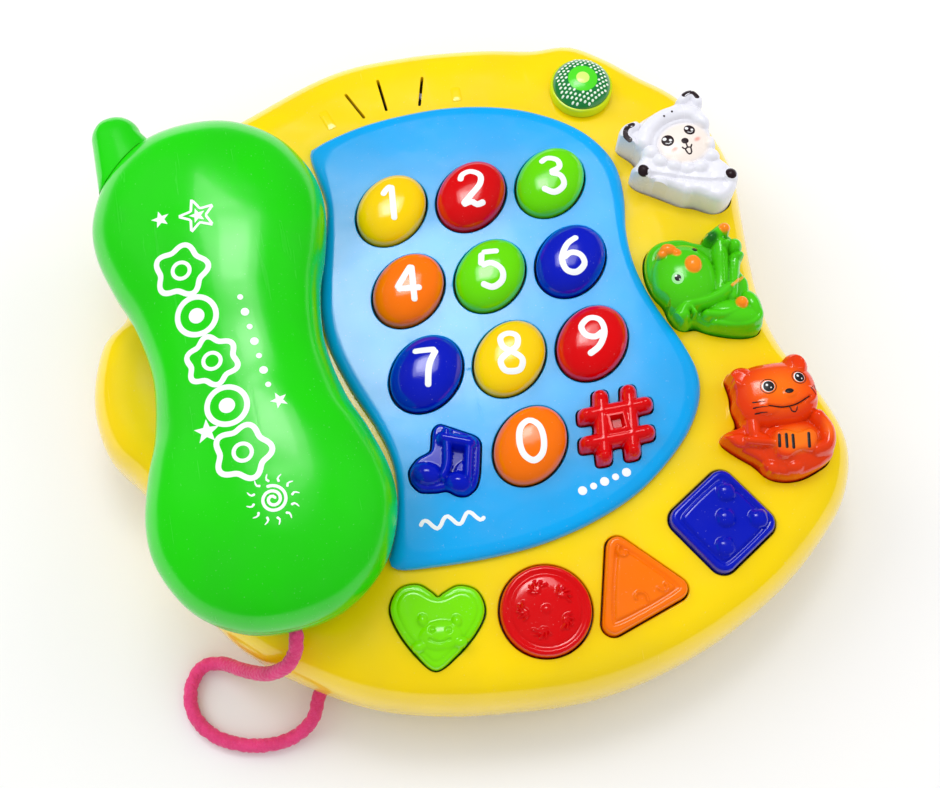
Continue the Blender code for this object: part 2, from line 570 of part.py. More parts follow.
# ---- Inside -------------------------------------------------------------------------------------
def make_electronics(stems):
    green = material("board_green", (0.02, 0.16, 0.06), 0.45)
    grey = material("silicone_grey", (0.62, 0.62, 0.60), 0.60)
    board = prism("circuit_board", rounded_polygon(BOARD_OUTLINE, 3.0, 2), *BOARD_Z, green)
    black = material("epoxy_black", (0.01, 0.01, 0.012), 0.35)
    chip_z = BOARD_Z[0] - GAP
    turned_solid("sound_chip", (-15, -74),
                 [(3.0, chip_z - 2.2), (5.6, chip_z - 1.2), (6.5, chip_z)], 14, black)
    mat = prism("key_mat", rounded_polygon(MAT_OUTLINE, 3.0, 2), *MAT_Z, grey)
    for number, stem in enumerate(stems):
        join(mat, turned_solid(f"dome_{number}", stem, [(4.4, MAT_Z[0] + 0.4), (4.4, MAT_Z[1]),
                                                        (2.9, DOME_TOP_Z)], 6))
    lens_finish = material("lens_clear_green", (0.45, 0.90, 0.08), 0.08, 0.0, 0.6)
    lens = turned_solid("light_lens", LENS_CENTRE,
                        [(7.4, TOP_Z + 2.4), (7.6, 31.0), (8.9, 31.0), (8.9, TOP_Z + GAP),
                         (LENS_RADIUS + 0.4, TOP_Z + GAP), (LENS_RADIUS, TOP_Z + 2.0),
                         (8.7, LENS_TOP_Z - 3.4), (5.6, LENS_TOP_Z - 1.1), (2.2, LENS_TOP_Z)],
                        20, lens_finish)
    led_finish = material("led_epoxy", (0.95, 0.95, 0.85), 0.12, 0.0, 0.8)
    turned_solid("light_led", LENS_CENTRE, [(2.9, MAT_Z[0]), (2.9, MAT_Z[0] + 1.0), (2.5, MAT_Z[0] + 1.0),
                                            (2.5, 29.4), (1.9, 31.0), (0.8, 31.8)], 12, led_finish)
    return board, mat, lens


def make_speaker():
    steel = material(*STEEL)
    black = material("ferrite_black", (0.03, 0.03, 0.035), 0.55)
    paper = material("paper_cone", (0.07, 0.07, 0.075), 0.80)
    place = SPEAKER_CENTRE
    turned_solid("speaker_frame", place,
                 [(5.0, 23.8), (8.2, 23.8), (12.4, 27.2), (12.4, 29.4), (SPEAKER_RADIUS, 29.4),
                  (SPEAKER_RADIUS, 28.2), (13.4, 28.2), (13.4, 26.6), (9.0, 22.8), (5.0, 22.8)][::-1],
                 16, steel)
    turned_solid("speaker_magnet", place, [(8.6, 17.6), (8.6, 22.5)], 16, black)
    turned_solid("speaker_cone", place,
                 [(3.0, 25.2), (4.6, 25.2), (11.6, 28.3), (12.0, 29.0), (11.2, 29.6), (4.4, 26.2),
                  (2.0, 27.2)], 16, paper)


def make_battery_bay():
    jacket = material("cell_jacket", (0.05, 0.10, 0.22), 0.30, 0.3)
    steel = material(*STEEL)
    cell_z = DOOR_Z[1] + GAP + CELL_RADIUS + 0.2
    left = BAY_CENTRE[0] - BAY_SIZE[0] / 2
    right = BAY_CENTRE[0] + BAY_SIZE[0] / 2
    plate_thickness = 0.8
    for number in range(3):
        y = BAY_CENTRE[1] + (number - 1) * CELL_PITCH
        side = 1 if number != 1 else -1
        plate_wall = right if side > 0 else left
        spring_wall = left if side > 0 else right
        nub_x = plate_wall - side * (plate_thickness + 2 * GAP)
        stages = [(2.75, nub_x), (2.75, nub_x - side * 1.0), (CELL_RADIUS, nub_x - side * 1.0),
                  (CELL_RADIUS, nub_x - side * (CELL_LENGTH + 1.0))]
        angles = np.arange(16) * 2 * math.pi / 16
        rings = []
        for radius, x in stages:
            rings.append(np.column_stack([np.full(16, x), y + radius * np.cos(angles) * side,
                                          cell_z + radius * np.sin(angles)]))
        loft(f"battery_cell_{number + 1}", rings[::-1], jacket)

        plate = rectangle((plate_wall - side * (plate_thickness / 2 + GAP), y), (plate_thickness, 10.0))
        prism(f"battery_plate_{number + 1}", plate, cell_z - 6.0, cell_z + 6.0, steel)

        flat_end = nub_x - side * (CELL_LENGTH + 1.0)
        turns = 3.0
        coil_run = abs(flat_end - spring_wall) - 2 * (GAP + 0.45)
        points = []
        for index in range(int(turns * COIL_POINTS) + 1):
            part = index / (turns * COIL_POINTS)
            radius = 4.6 - 1.6 * part
            angle = 2 * math.pi * turns * part
            x = spring_wall + side * (GAP + 0.45 + coil_run * part)
            points.append((x, y + radius * math.cos(angle), cell_z + radius * math.sin(angle)))
        tube(f"battery_spring_{number + 1}", points, 0.4, 1, steel)


def tube(name, points, radius, resolution, finish):
    """A round tube along a polyline, with filled ends; points are millimetres."""
    curve = bpy.data.curves.new(name, "CURVE")
    curve.dimensions = "3D"
    curve.bevel_depth = radius * MM
    curve.bevel_resolution = resolution
    curve.use_fill_caps = True
    spline = curve.splines.new("POLY")
    spline.points.add(len(points) - 1)
    for target, point in zip(spline.points, points):
        target.co = (point[0] * MM, point[1] * MM, point[2] * MM, 1.0)
    curve.materials.append(finish)
    made = bpy.data.objects.new(name, curve)
    bpy.context.collection.objects.link(made)
    return made


# ---- Handset ------------------------------------------------------------------------------------
def make_handset():
    green = material(*GREEN)
    outline = handset_outline()
    upper = loft("handset_top_shell", [ring(inset(outline, a), z) for z, a in HANDSET_UPPER], green)
    wall = HANDSET_WALL
    inner_upper = [(HANDSET_SPLIT_Z - 2, wall)] + [(z - wall, a + wall) for z, a in HANDSET_UPPER[1:]]
    cut(upper, loft("handset_top_hollow", [ring(inset(outline, a), z) for z, a in inner_upper]))

    lower = loft("handset_bottom_shell", [ring(inset(outline, a), z) for z, a in HANDSET_LOWER], green)
    for name, along in (("ear", CUP_ALONG), ("mouth", -CUP_ALONG)):
        join(lower, turned_solid(f"{name}_cup", on_handset(0, along),
                                 [(CUP_RADIUS - 1.4, CUP_FOOT_Z), (CUP_RADIUS, CUP_FOOT_Z + 1.4),
                                  (CUP_RADIUS, 38.6)], 20))
    inner_lower = [(z + wall, a + wall) for z, a in HANDSET_LOWER[:-1]] + [(HANDSET_SPLIT_Z + 2, wall)]
    cut(lower, loft("handset_bottom_hollow", [ring(inset(outline, a), z) for z, a in inner_lower]))
    for name, along in (("ear", CUP_ALONG), ("mouth", -CUP_ALONG)):
        centre = on_handset(0, along)
        cut(lower, turned_solid(f"{name}_cup_hollow", centre,
                                [(CUP_RADIUS - 3.0, CUP_FOOT_Z + 2.0), (CUP_RADIUS - 2.0, 42.0)], 20))
        for number in range(4):
            across, forward = circle((0, along), 5.0, 4)[number]
            hole = on_handset(across, forward)
            cut(lower, turned_solid(f"{name}_sound_hole_{number}", hole,
                                    [(1.3, CUP_FOOT_Z - 2), (1.3, CUP_FOOT_Z + 4)], 6))
    for number, along in enumerate((HANDSET_SCREW_ALONG, -HANDSET_SCREW_ALONG)):
        centre = on_handset(0, along)
        join(lower, turned_solid(f"handset_boss_{number}", centre, [(4.8, 38.0), (4.8, 44.0)], 8))
        cut(lower, turned_solid(f"handset_boss_bore_{number}", centre,
                                [(3.3, 34.0), (3.3, 41.0), (1.8, 41.0), (1.8, 46.0)], 8))
        join(upper, turned_solid(f"handset_post_{number}", centre, [(3.4, 44.3), (3.4, 65.0)], 8))
        cut(upper, turned_solid(f"handset_post_bore_{number}", centre, [(1.5, 42.0), (1.5, 56.0)], 6))
        make_screw(f"handset_screw_{number + 1}", centre, 38.9, 2.9, 1.2, 14.0)

    root, tip = np.array(ANTENNA_ROOT), np.array(ANTENNA_TIP)
    along = (tip - root) / np.linalg.norm(tip - root)
    stem = round_bar("antenna_stem", root + along * 2.0, root + along * 14.0, 3.0, 10)
    socket = round_bar("antenna_socket", root - along * 2.0, root + along * 16.0, 3.4, 10)
    cut(upper, socket)
    cut(lower, socket)
    make_antenna(outline, stem, green)

    cord_start, cord_next = np.array(CORD_ROUTE[0]), np.array(CORD_ROUTE[1])
    cut(lower, round_bar("handset_cord_hole", cord_start + (cord_next - cord_start) * 0.1,
                         cord_start + (cord_next - cord_start) * 3.2, CORD_HOLE_RADIUS))
    return upper, lower


def make_antenna(outline, stem, finish):
    """A rounded tab, wider at its foot, saddled against the handset's shoulder."""
    inner, foot, tip = np.array(ANTENNA_INNER), np.array(ANTENNA_FOOT), np.array(ANTENNA_TIP)
    ahead = (tip - foot) / np.linalg.norm(tip - foot)
    flare = np.array([8.6, 7.4, 0.0])
    side = np.array([ahead[1], -ahead[0], 0.0]) * ANTENNA_RADIUS
    angles = np.arange(16) * 2 * math.pi / 16
    stages = [(inner, flare, 1.0), (foot, flare, 1.0), (tip, side, 1.0)]
    stages += [(tip + ahead * ANTENNA_RADIUS * math.sin(bend), side * math.cos(bend), math.cos(bend))
               for bend in (0.5, 0.95, 1.3)]
    rings = []
    for centre, across, scale in stages:
        up = np.array([0.0, 0.0, ANTENNA_HALF_HEIGHT * scale])
        rings.append(centre + np.outer(np.cos(angles), across) + np.outer(np.sin(angles), up))
    made = loft("handset_antenna", rings[::-1], finish)
    swollen = [ring(inset(outline, a - GAP), z) for z, a in HANDSET_LOWER + HANDSET_UPPER]
    cut(made, loft("handset_envelope", swollen))
    join(made, stem)


# ---- Assembly -----------------------------------------------------------------------------------
def main():
    for old in list(bpy.data.objects):
        bpy.data.objects.remove(old)

    outline = smooth_loop(BASE_OUTLINE, OUTLINE_POINTS)
    panel = smooth_loop(PANEL_OUTLINE, 44)
    figures = {
        "lamb": smooth_loop(LAMB_OUTLINE, 40),
        "dragon": smooth_loop(DRAGON_OUTLINE, 40),
        "cat": smooth_loop(CAT_OUTLINE, 40),
    }
    shapes = {
        "heart": heart(HEART_CENTRE, HEART_TURN),
        "circle": circle(CIRCLE_CENTRE, CIRCLE_RADIUS, 22),
        "triangle": rounded_polygon(TRIANGLE, 3.2),
        "square": rounded_polygon(rectangle(SQUARE_CENTRE, (SQUARE_SIDE, SQUARE_SIDE), SQUARE_TURN), 4.0),
    }
    low_holes = {name: inset(loop, -KEY_CLEARANCE) for name, loop in {**figures, **shapes}.items()}

    keys = {}
    colours = ["yellow", "red", "green", "orange", "green", "blue", "blue", "yellow", "red"]
    for number, colour in enumerate(colours):
        keys[str(number + 1)] = ((KEY_COLUMNS[number % 3], KEY_ROWS[number // 3]), colour)
    keys["0"] = ((KEY_COLUMNS[1], KEY_ROWS[3]), "orange")
    sign = hash_outline(HASH_REACH, HASH_OFFSET, HASH_BAR)
    note = np.array(NOTE_OUTLINE, dtype=float)
    grow = 2 * KEY_CLEARANCE
    panel_holes = {f"key_{label}": egg(centre, KEY_LENGTH + grow, KEY_WIDTH + grow)
                   for label, (centre, _) in keys.items()}
    panel_holes["key_note"] = inset(note, -KEY_CLEARANCE)
    panel_holes["key_hash"] = inset(sign, -KEY_CLEARANCE)

    make_base(outline, panel, low_holes)
    make_panel(panel, panel_holes)
    for label, (centre, colour) in keys.items():
        make_egg_key(label, centre, colour)
    skirt_space = prism("skirt_space", inset(panel, PANEL_SKIRT_INSET + PANEL_SKIRT_WALL + GAP),
                        20, PANEL_FACE_Z)
    make_glyph_key("key_note", note, NOTE_WINDOW, NOTE_CENTRE, skirt_space, "blue")
    window = 2 * (HASH_OFFSET - HASH_BAR)
    make_glyph_key("key_hash", sign, rectangle(HASH_CENTRE, (window, window)), HASH_CENTRE, skirt_space,
                   "red")

    shape_colours = {"heart": "green", "circle": "red", "triangle": "orange", "square": "blue"}
    shape_stems = {"heart": HEART_CENTRE, "circle": CIRCLE_CENTRE,
                   "triangle": tuple(np.mean(TRIANGLE, axis=0)), "square": SQUARE_CENTRE}
    space = loft("button_space", hollow_rings(outline, WALL + GAP))
    for name, loop in shapes.items():
        make_block_button(f"button_{name}", loop, shape_stems[name], SHAPE_HOLLOW[name],
                          SHAPE_TOP_Z, 1.4, space, material(*FINISHES[shape_colours[name]]))
    figure_finishes = {"lamb": "white", "dragon": "dragon", "cat": "cat"}
    for name, loop in figures.items():
        make_block_button(f"button_{name}", loop, FIGURE_STEMS[name], FIGURE_HOLLOW, FIGURE_TOP_Z, 2.4, space,
                          material(*FINISHES[figure_finishes[name]]))

    stems = [centre for centre, _ in keys.values()] + [NOTE_CENTRE, HASH_CENTRE]
    stems += list(shape_stems.values()) + list(FIGURE_STEMS.values())
    make_electronics(stems)
    make_speaker()
    make_battery_bay()
    make_handset()

    yellow = material(*YELLOW)
    door = prism("battery_door", door_outline(), *DOOR_Z, yellow)
    cut(door, turned_solid("door_screw_hole", door_screw_place(),
                           [(3.1, 0), (3.1, 2.4), (1.7, 2.4), (1.7, 5)], 12))
    make_screw("battery_door_screw", door_screw_place(), 2.7 - 1.8 - GAP, 2.7, 1.1, 10.0)
    for number, post in enumerate(SCREW_POSTS):
        make_screw(f"base_screw_{number + 1}", post, SCREW_SEAT_Z - 1.8 - GAP, 2.6, 1.2, 16.0)

    pink = material("pink_cord", (0.86, 0.08, 0.30), 0.85)
    path = smooth_path(CORD_ROUTE, CORD_STEP)
    tube("cord", path, CORD_RADIUS, 2, pink)
    for name, end, before in (("cord_knot_handset", path[0], path[1]),
                              ("cord_knot_base", path[-1], path[-2])):
        away = (end - before) / np.linalg.norm(end - before)
        make_knot(name, end + away * (GAP + 2.6), pink)


def make_knot(name, centre, finish):
    """The overhand knot that stops the cord, as a ball."""
    stages = [(math.cos(a), math.sin(a)) for a in np.radians([-75, -45, -15, 15, 45, 75])]
    rings = [ring(circle(centre, 2.6 * c, 12), centre[2] + 2.6 * s) for c, s in stages]
    loft(name, rings, finish)


main()
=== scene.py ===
"""Looks of the toy desk telephone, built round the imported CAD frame.

Lengths are millimetres in the frame's axes; MM turns them into metres where meshes are made.
Outlines are listed anticlockwise, seen from above.
"""

import math

import bmesh
import bpy
import numpy as np
from mathutils import Matrix, Vector
from mathutils.bvhtree import BVHTree


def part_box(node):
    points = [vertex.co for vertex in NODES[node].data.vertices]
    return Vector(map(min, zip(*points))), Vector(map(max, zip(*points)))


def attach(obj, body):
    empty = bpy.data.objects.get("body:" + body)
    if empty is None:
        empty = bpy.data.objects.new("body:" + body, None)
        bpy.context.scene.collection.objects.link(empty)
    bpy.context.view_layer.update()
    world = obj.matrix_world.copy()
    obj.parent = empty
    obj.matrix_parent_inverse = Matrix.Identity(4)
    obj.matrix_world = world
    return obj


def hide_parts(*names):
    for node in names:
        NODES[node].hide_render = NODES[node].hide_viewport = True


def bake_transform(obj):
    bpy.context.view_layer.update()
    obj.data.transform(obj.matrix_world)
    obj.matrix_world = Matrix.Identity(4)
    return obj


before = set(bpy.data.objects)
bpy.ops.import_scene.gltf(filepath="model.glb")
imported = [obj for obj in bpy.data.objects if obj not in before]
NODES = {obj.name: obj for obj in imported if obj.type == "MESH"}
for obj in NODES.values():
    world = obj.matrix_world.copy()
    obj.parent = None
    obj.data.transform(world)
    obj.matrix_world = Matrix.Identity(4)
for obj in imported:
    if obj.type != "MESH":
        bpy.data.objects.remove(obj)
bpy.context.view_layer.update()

MM = 0.001


# ---- Camera -------------------------------------------------------------------------------------
def make_camera():
    tilt, azimuth, roll = map(math.radians, (20.5, -15.2165, 3.556))
    target, distance = Vector((0.13, -18.77, 40.0)), 378.57
    rise = math.pi / 2 - tilt
    back = Vector((math.sin(azimuth) * math.cos(rise), -math.cos(azimuth) * math.cos(rise), math.sin(rise)))
    right = Vector((math.cos(azimuth), math.sin(azimuth), 0.0))
    up = back.cross(right)
    right, up = (right * math.cos(roll) + up * math.sin(roll), up * math.cos(roll) - right * math.sin(roll))
    camera = bpy.data.objects.new("camera", bpy.data.cameras.new("camera"))
    camera.data.lens = 50.0
    camera.data.sensor_width = 36.0
    camera.data.clip_start = 0.01
    camera.matrix_world = Matrix.Translation((target + back * distance) * MM) @ Matrix(
        (right, up, back)).transposed().to_4x4()
    bpy.context.scene.collection.objects.link(camera)
    bpy.context.scene.camera = camera


make_camera()


# ---- Outlines -----------------------------------------------------------------------------------
def catmull(points, closed):
    points = np.array(points, dtype=float)
    if closed:
        padded = np.vstack([points[-1:], points, points[:2]])
    else:
        padded = np.vstack([2 * points[0] - points[1], points, 2 * points[-1] - points[-2]])
    steps = np.linspace(0.0, 1.0, 24, endpoint=False)[:, None]
    pieces = []
    for index in range(1, len(padded) - 2):
        p0, p1, p2, p3 = padded[index - 1:index + 3]
        pieces.append(0.5 * (2 * p1 + (p2 - p0) * steps + (2 * p0 - 5 * p1 + 4 * p2 - p3) * steps**2
                             + (3 * p1 - 3 * p2 + p3 - p0) * steps**3))
    return np.vstack(pieces + [padded[-2:-1]])


def even(curve, count, closed):
    """count points evenly spaced along a polyline; a closed one leaves its repeated end out."""
    run = np.concatenate([[0.0], np.cumsum(np.linalg.norm(np.diff(curve, axis=0), axis=1))])
    wanted = np.linspace(0.0, run[-1], count, endpoint=not closed)
    return np.column_stack([np.interp(wanted, run, curve[:, axis]) for axis in range(curve.shape[1])])


def smooth_loop(controls, count):
    return even(catmull(controls, True), count, True)


def smooth_path(controls, step):
    curve = catmull(controls, False)
    length = np.linalg.norm(np.diff(curve, axis=0), axis=1).sum()
    return even(curve, max(3, int(round(length / step)) + 1), False)


def straight_path(points, step):
    points = np.array(points, dtype=float)
    length = np.linalg.norm(np.diff(points, axis=0), axis=1).sum()
    return even(points, max(3, int(round(length / step)) + 1), False)


def turned(points, angle, centre=(0.0, 0.0)):
    points = np.array(points, dtype=float)
    c, s = math.cos(angle), math.sin(angle)
    return np.column_stack([centre[0] + points[:, 0] * c - points[:, 1] * s,
                            centre[1] + points[:, 0] * s + points[:, 1] * c])


def ellipse(centre, rx, ry, count, angle=0.0):
    a = np.arange(count) * 2 * math.pi / count
    return turned(np.column_stack([rx * np.cos(a), ry * np.sin(a)]), angle, centre)


def offset(loop, distance):
    """The outline moved inwards by distance along its normals, or outwards where negative."""
    points = np.array(loop, dtype=float)
    steps = max(1, int(abs(distance) / 0.5))
    for _ in range(steps):
        ahead = np.roll(points, -1, axis=0) - points
        ahead /= np.linalg.norm(ahead, axis=1)[:, None] + 1e-12
        both = ahead + np.roll(ahead, 1, axis=0)
        normal = np.column_stack([-both[:, 1], both[:, 0]])
        length = np.linalg.norm(normal, axis=1)[:, None]
        points = points + normal / (length + 1e-12) * (distance / steps) * (2.0 / np.maximum(length, 1.2))
    return points


def eased_inset(loop, amount):
    """An outline drawn in step by step, its tight corners easing off so that it never crosses itself."""
    steps = max(1, math.ceil(abs(amount) / 0.3))
    for _ in range(steps):
        loop = offset(loop, amount / steps)
        for _ in range(3):
            loop = 0.5 * loop + 0.25 * (np.roll(loop, 1, axis=0) + np.roll(loop, -1, axis=0))
    return loop


def rounded_polygon(corners, radius, arc_points=10):
    corners = np.array(corners, dtype=float)
    outline = []
    for index, corner in enumerate(corners):
        to_last = corners[index - 1] - corner
        to_next = corners[(index + 1) % len(corners)] - corner
        to_last /= np.linalg.norm(to_last)
        to_next /= np.linalg.norm(to_next)
        half = math.acos(float(np.dot(to_last, to_next))) / 2
        middle = to_last + to_next
        centre = corner + middle / np.linalg.norm(middle) * radius / math.sin(half)
        start = corner + to_last * radius / math.tan(half) - centre
        for step in range(arc_points + 1):
            outline.append(turned([start], (math.pi - 2 * half) * step / arc_points, centre)[0])
    return np.array(outline)


def rectangle(centre, size, angle=0.0):
    x, y = size[0] / 2, size[1] / 2
    return turned([(-x, -y), (x, -y), (x, y), (-x, y)], angle, centre)


def edge_distance(points, path, closed=True):
    """Distance of each point from a polyline."""
    starts = np.asarray(path, dtype=float)
    ends = np.roll(starts, -1, axis=0) if closed else starts[1:]
    starts = starts if closed else starts[:-1]
    best = np.full(len(points), 1e9)
    for start, end in zip(starts, ends):
        run = end - start
        part = np.clip(((points - start) @ run) / (run @ run + 1e-12), 0.0, 1.0)
        best = np.minimum(best, np.linalg.norm(points - (start + part[:, None] * run), axis=1))
    return best


def is_inside(points, outline):
    x, y = points[:, 0], points[:, 1]
    found = np.zeros(len(points), dtype=bool)
    for (x0, y0), (x1, y1) in zip(outline, np.roll(outline, -1, axis=0)):
        crosses = (y0 > y) != (y1 > y)
        found ^= crosses & (x < (x1 - x0) * (y - y0) / (y1 - y0 + 1e-12) + x0)
    return found


# ---- Materials ----------------------------------------------------------------------------------
class Graph:
    """Shorthand for building a material's nodes."""

    def __init__(self, name):
        self.material = bpy.data.materials.new(name)
        self.material.use_nodes = True
        self.tree = self.material.node_tree
        self.shader = self.tree.nodes["Principled BSDF"]

    def link(self, source, target):
        self.tree.links.new(source, target)

    def place(self):
        if not hasattr(self, "_place"):
            self._place = self.tree.nodes.new("ShaderNodeTexCoord").outputs["Object"]
        return self._place

    def noise(self, scale, detail=2.0, roughness=0.5, distortion=0.0, stretch=None):
        node = self.tree.nodes.new("ShaderNodeTexNoise")
        node.inputs["Scale"].default_value = scale
        node.inputs["Detail"].default_value = detail
        node.inputs["Roughness"].default_value = roughness
        node.inputs["Distortion"].default_value = distortion
        if stretch is None:
            self.link(self.place(), node.inputs["Vector"])
        else:
            mapping = self.tree.nodes.new("ShaderNodeMapping")
            mapping.inputs["Scale"].default_value = stretch
            self.link(self.place(), mapping.inputs["Vector"])
            self.link(mapping.outputs["Vector"], node.inputs["Vector"])
        return node.outputs["Fac"]

    def ramp(self, value, low, high, to_low, to_high):
        node = self.tree.nodes.new("ShaderNodeMapRange")
        for socket, number in zip(("From Min", "From Max", "To Min", "To Max"), (low, high, to_low, to_high)):
            node.inputs[socket].default_value = number
        self.link(value, node.inputs["Value"])
        return node.outputs["Result"]

    def mix(self, factor, first, second, blend="MIX"):
        node = self.tree.nodes.new("ShaderNodeMix")
        node.data_type = "RGBA"
        node.blend_type = blend
        for socket, value in ((node.inputs[0], factor), (node.inputs[6], first), (node.inputs[7], second)):
            if isinstance(value, bpy.types.NodeSocket):
                self.link(value, socket)
            else:
                socket.default_value = value if isinstance(value, float) else (*value[:3], 1.0)
        return node.outputs[2]

    def bump(self, height, strength, distance, below=None):
        node = self.tree.nodes.new("ShaderNodeBump")
        node.inputs["Strength"].default_value = strength
        node.inputs["Distance"].default_value = distance
        self.link(height, node.inputs["Height"])
        if below is not None:
            self.link(below, node.inputs["Normal"])
        return node.outputs["Normal"]

    def set(self, **values):
        for name, value in values.items():
            socket = self.shader.inputs[name.replace("_", " ")]
            if isinstance(value, bpy.types.NodeSocket):
                self.link(value, socket)
            else:
                socket.default_value = (*value, 1.0) if isinstance(value, tuple) else value
        return self.material


def made_once(make):
    """Makes each material once and returns it again for the same name."""
    made = {}

    def recall(name, *values, **options):
        if name not in made:
            made[name] = make(name, *values, **options)
        return made[name]
    return recall


@made_once
def plastic(name, colour, roughness=0.16, coat=0.35, painted=False, waviness=0.35, deep=0.90):
    """Glossy moulded plastic: slight colour drift, fine grain, moulding ripple and hairline wear."""
    g = Graph(name)
    if painted:
        attribute = g.tree.nodes.new("ShaderNodeAttribute")
        attribute.attribute_name = "paint"
        base = attribute.outputs["Color"]
    else:
        base = colour
    drift = g.ramp(g.noise(28.0, 3.0), 0.35, 0.65, 0.0, 1.0)
    body = g.mix(drift, base, g.mix(1.0, base, (deep, deep, deep), "MULTIPLY"))
    specks = g.ramp(g.noise(1500.0, 1.0), 0.72, 0.80, 0.0, 0.10)
    body = g.mix(specks, body, (0.9, 0.9, 0.88))
    hairs = g.ramp(g.noise(500.0, 3.0, 0.6, 0.4, (1.0, 0.05, 0.3)), 0.62, 0.74, 0.0, 0.10)
    patches = g.ramp(g.noise(55.0, 4.0), 0.3, 0.7, roughness - 0.04, roughness + 0.06)
    add = g.tree.nodes.new("ShaderNodeMath")
    add.operation = "ADD"
    g.link(hairs, add.inputs[0])
    g.link(patches, add.inputs[1])
    ripple = g.bump(g.noise(60.0, 2.0), waviness, 0.0006)
    grain = g.bump(g.noise(2600.0, 2.0), 0.12, 0.00006, ripple)
    return g.set(Base_Color=body, Roughness=add.outputs[0], Normal=grain, Coat_Weight=coat,
                 Coat_Roughness=0.06,
                 IOR=1.52)


@made_once
def print_ink(name, colour, roughness=0.35):
    """Pad-printed ink: a thin film with a slightly broken surface."""
    g = Graph(name)
    thin = g.ramp(g.noise(900.0, 3.0), 0.55, 0.75, 0.0, 0.22)
    body = g.mix(thin, colour, tuple(0.8 * c + 0.05 for c in colour))
    rough = g.ramp(g.noise(300.0, 2.0), 0.3, 0.7, roughness - 0.08, roughness + 0.1)
    return g.set(Base_Color=body, Roughness=rough, Normal=g.bump(g.noise(3000.0, 2.0), 0.2, 0.00004))


@made_once
def metal(name, colour, roughness):
    g = Graph(name)
    tarnish = g.ramp(g.noise(350.0, 4.0, 0.6), 0.4, 0.75, 0.0, 0.5)
    body = g.mix(tarnish, colour, tuple(0.55 * c for c in colour))
    rough = g.ramp(g.noise(900.0, 3.0, 0.5, 0.0, (1.0, 0.1, 1.0)), 0.3, 0.7, roughness - 0.1,
                   roughness + 0.15)
    return g.set(Base_Color=body, Roughness=rough, Metallic=1.0,
                 Normal=g.bump(g.noise(2200.0, 2.0), 0.2, 0.00005))


@made_once
def matte(name, colour, second, scale, roughness=0.6, depth=0.0001):
    """A dull material mottled between two colours."""
    g = Graph(name)
    body = g.mix(g.ramp(g.noise(scale, 4.0), 0.4, 0.62, 0.0, 1.0), colour, second)
    rough = g.ramp(g.noise(scale * 2, 2.0), 0.3, 0.7, roughness - 0.1, roughness + 0.1)
    return g.set(Base_Color=body, Roughness=rough, Normal=g.bump(g.noise(scale * 6, 3.0), 0.5, depth))


@made_once
def clear_plastic(name, colour, transmission=0.75):
    g = Graph(name)
    body = g.mix(g.ramp(g.noise(120.0, 2.0), 0.3, 0.7, 0.0, 0.4), colour,
                 tuple(min(1.0, c * 1.2) for c in colour))
    rough = g.ramp(g.noise(400.0, 3.0), 0.4, 0.8, 0.03, 0.12)
    return g.set(Base_Color=body, Roughness=rough, Transmission_Weight=transmission, IOR=1.35,
                 Normal=g.bump(g.noise(500.0, 2.0), 0.15, 0.0001))


YELLOW = (1.0, 0.71, 0.0)
SKY = (0.0, 0.40, 0.92)
HANDSET_GREEN = (0.01, 0.66, 0.0)
COLOURS = {
    "yellow": (1.0, 0.66, 0.0), "red": (0.72, 0.0, 0.002), "green": (0.14, 0.72, 0.0),
    "lime": (0.20, 0.82, 0.0), "orange": (1.0, 0.18, 0.0), "blue": (0.0, 0.008, 0.50),
}
WHITE_INK = (0.86, 0.88, 0.90)
BLACK_INK = (0.012, 0.010, 0.014)


# ---- Meshes -------------------------------------------------------------------------------------
def add_mesh(name, vertices, faces, finish, body, sharp=40.0):
    """A mesh object in the frame's axes, made from millimetre vertices, riding on a body."""
    mesh = bpy.data.meshes.new(name)
    mesh.from_pydata((np.array(vertices, dtype=float) * MM).tolist(), [], [tuple(face) for face in faces])
    mesh.validate()
    mesh.shade_smooth()
    mesh.set_sharp_from_angle(angle=math.radians(sharp))
    made = bpy.data.objects.new(name, mesh)
    bpy.context.scene.collection.objects.link(made)
    if finish is not None:
        mesh.materials.append(finish)
    if body is not None:
        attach(made, body)
    return made


def loft_faces(count, levels, start=0, cap_low=True, cap_high=True):
    faces = []
    for level in range(levels - 1):
        low, high = start + level * count, start + (level + 1) * count
        for index in range(count):
            after = (index + 1) % count
            faces.append((low + index, low + after, high + after, high + index))
    if cap_low:
        faces.append(tuple(range(start, start + count))[::-1])
    if cap_high:
        top = start + (levels - 1) * count
        faces.append(tuple(range(top, top + count)))
    return faces


def ring(outline, z):
    return np.column_stack([outline, np.broadcast_to(z, len(outline))])


def loft(name, rings, finish=None, body=None, sharp=40.0):
    """A closed skin through rings of equal point counts."""
    return add_mesh(name, np.vstack(rings), loft_faces(len(rings[0]), len(rings)), finish, body, sharp)


def cylinder(name, centre, profile, count=32, finish=None, body=None, sharp=40.0):
    return loft(name, [ring(ellipse(centre, r, r, count), z) for r, z in profile], finish, body, sharp)


def boolean(target, tools, operation="DIFFERENCE"):
    """Applies a Boolean with each tool in turn and removes the tools."""
    for item in tools:
        modifier = target.modifiers.new(item.name, "BOOLEAN")
        modifier.operation = operation
        modifier.solver = "EXACT"
        modifier.object = item
    bpy.context.view_layer.update()
    evaluated = target.evaluated_get(bpy.context.evaluated_depsgraph_get())
    mesh = bpy.data.meshes.new_from_object(evaluated)
    target.modifiers.clear()
    target.data = mesh
    for item in tools:
        bpy.data.objects.remove(item)


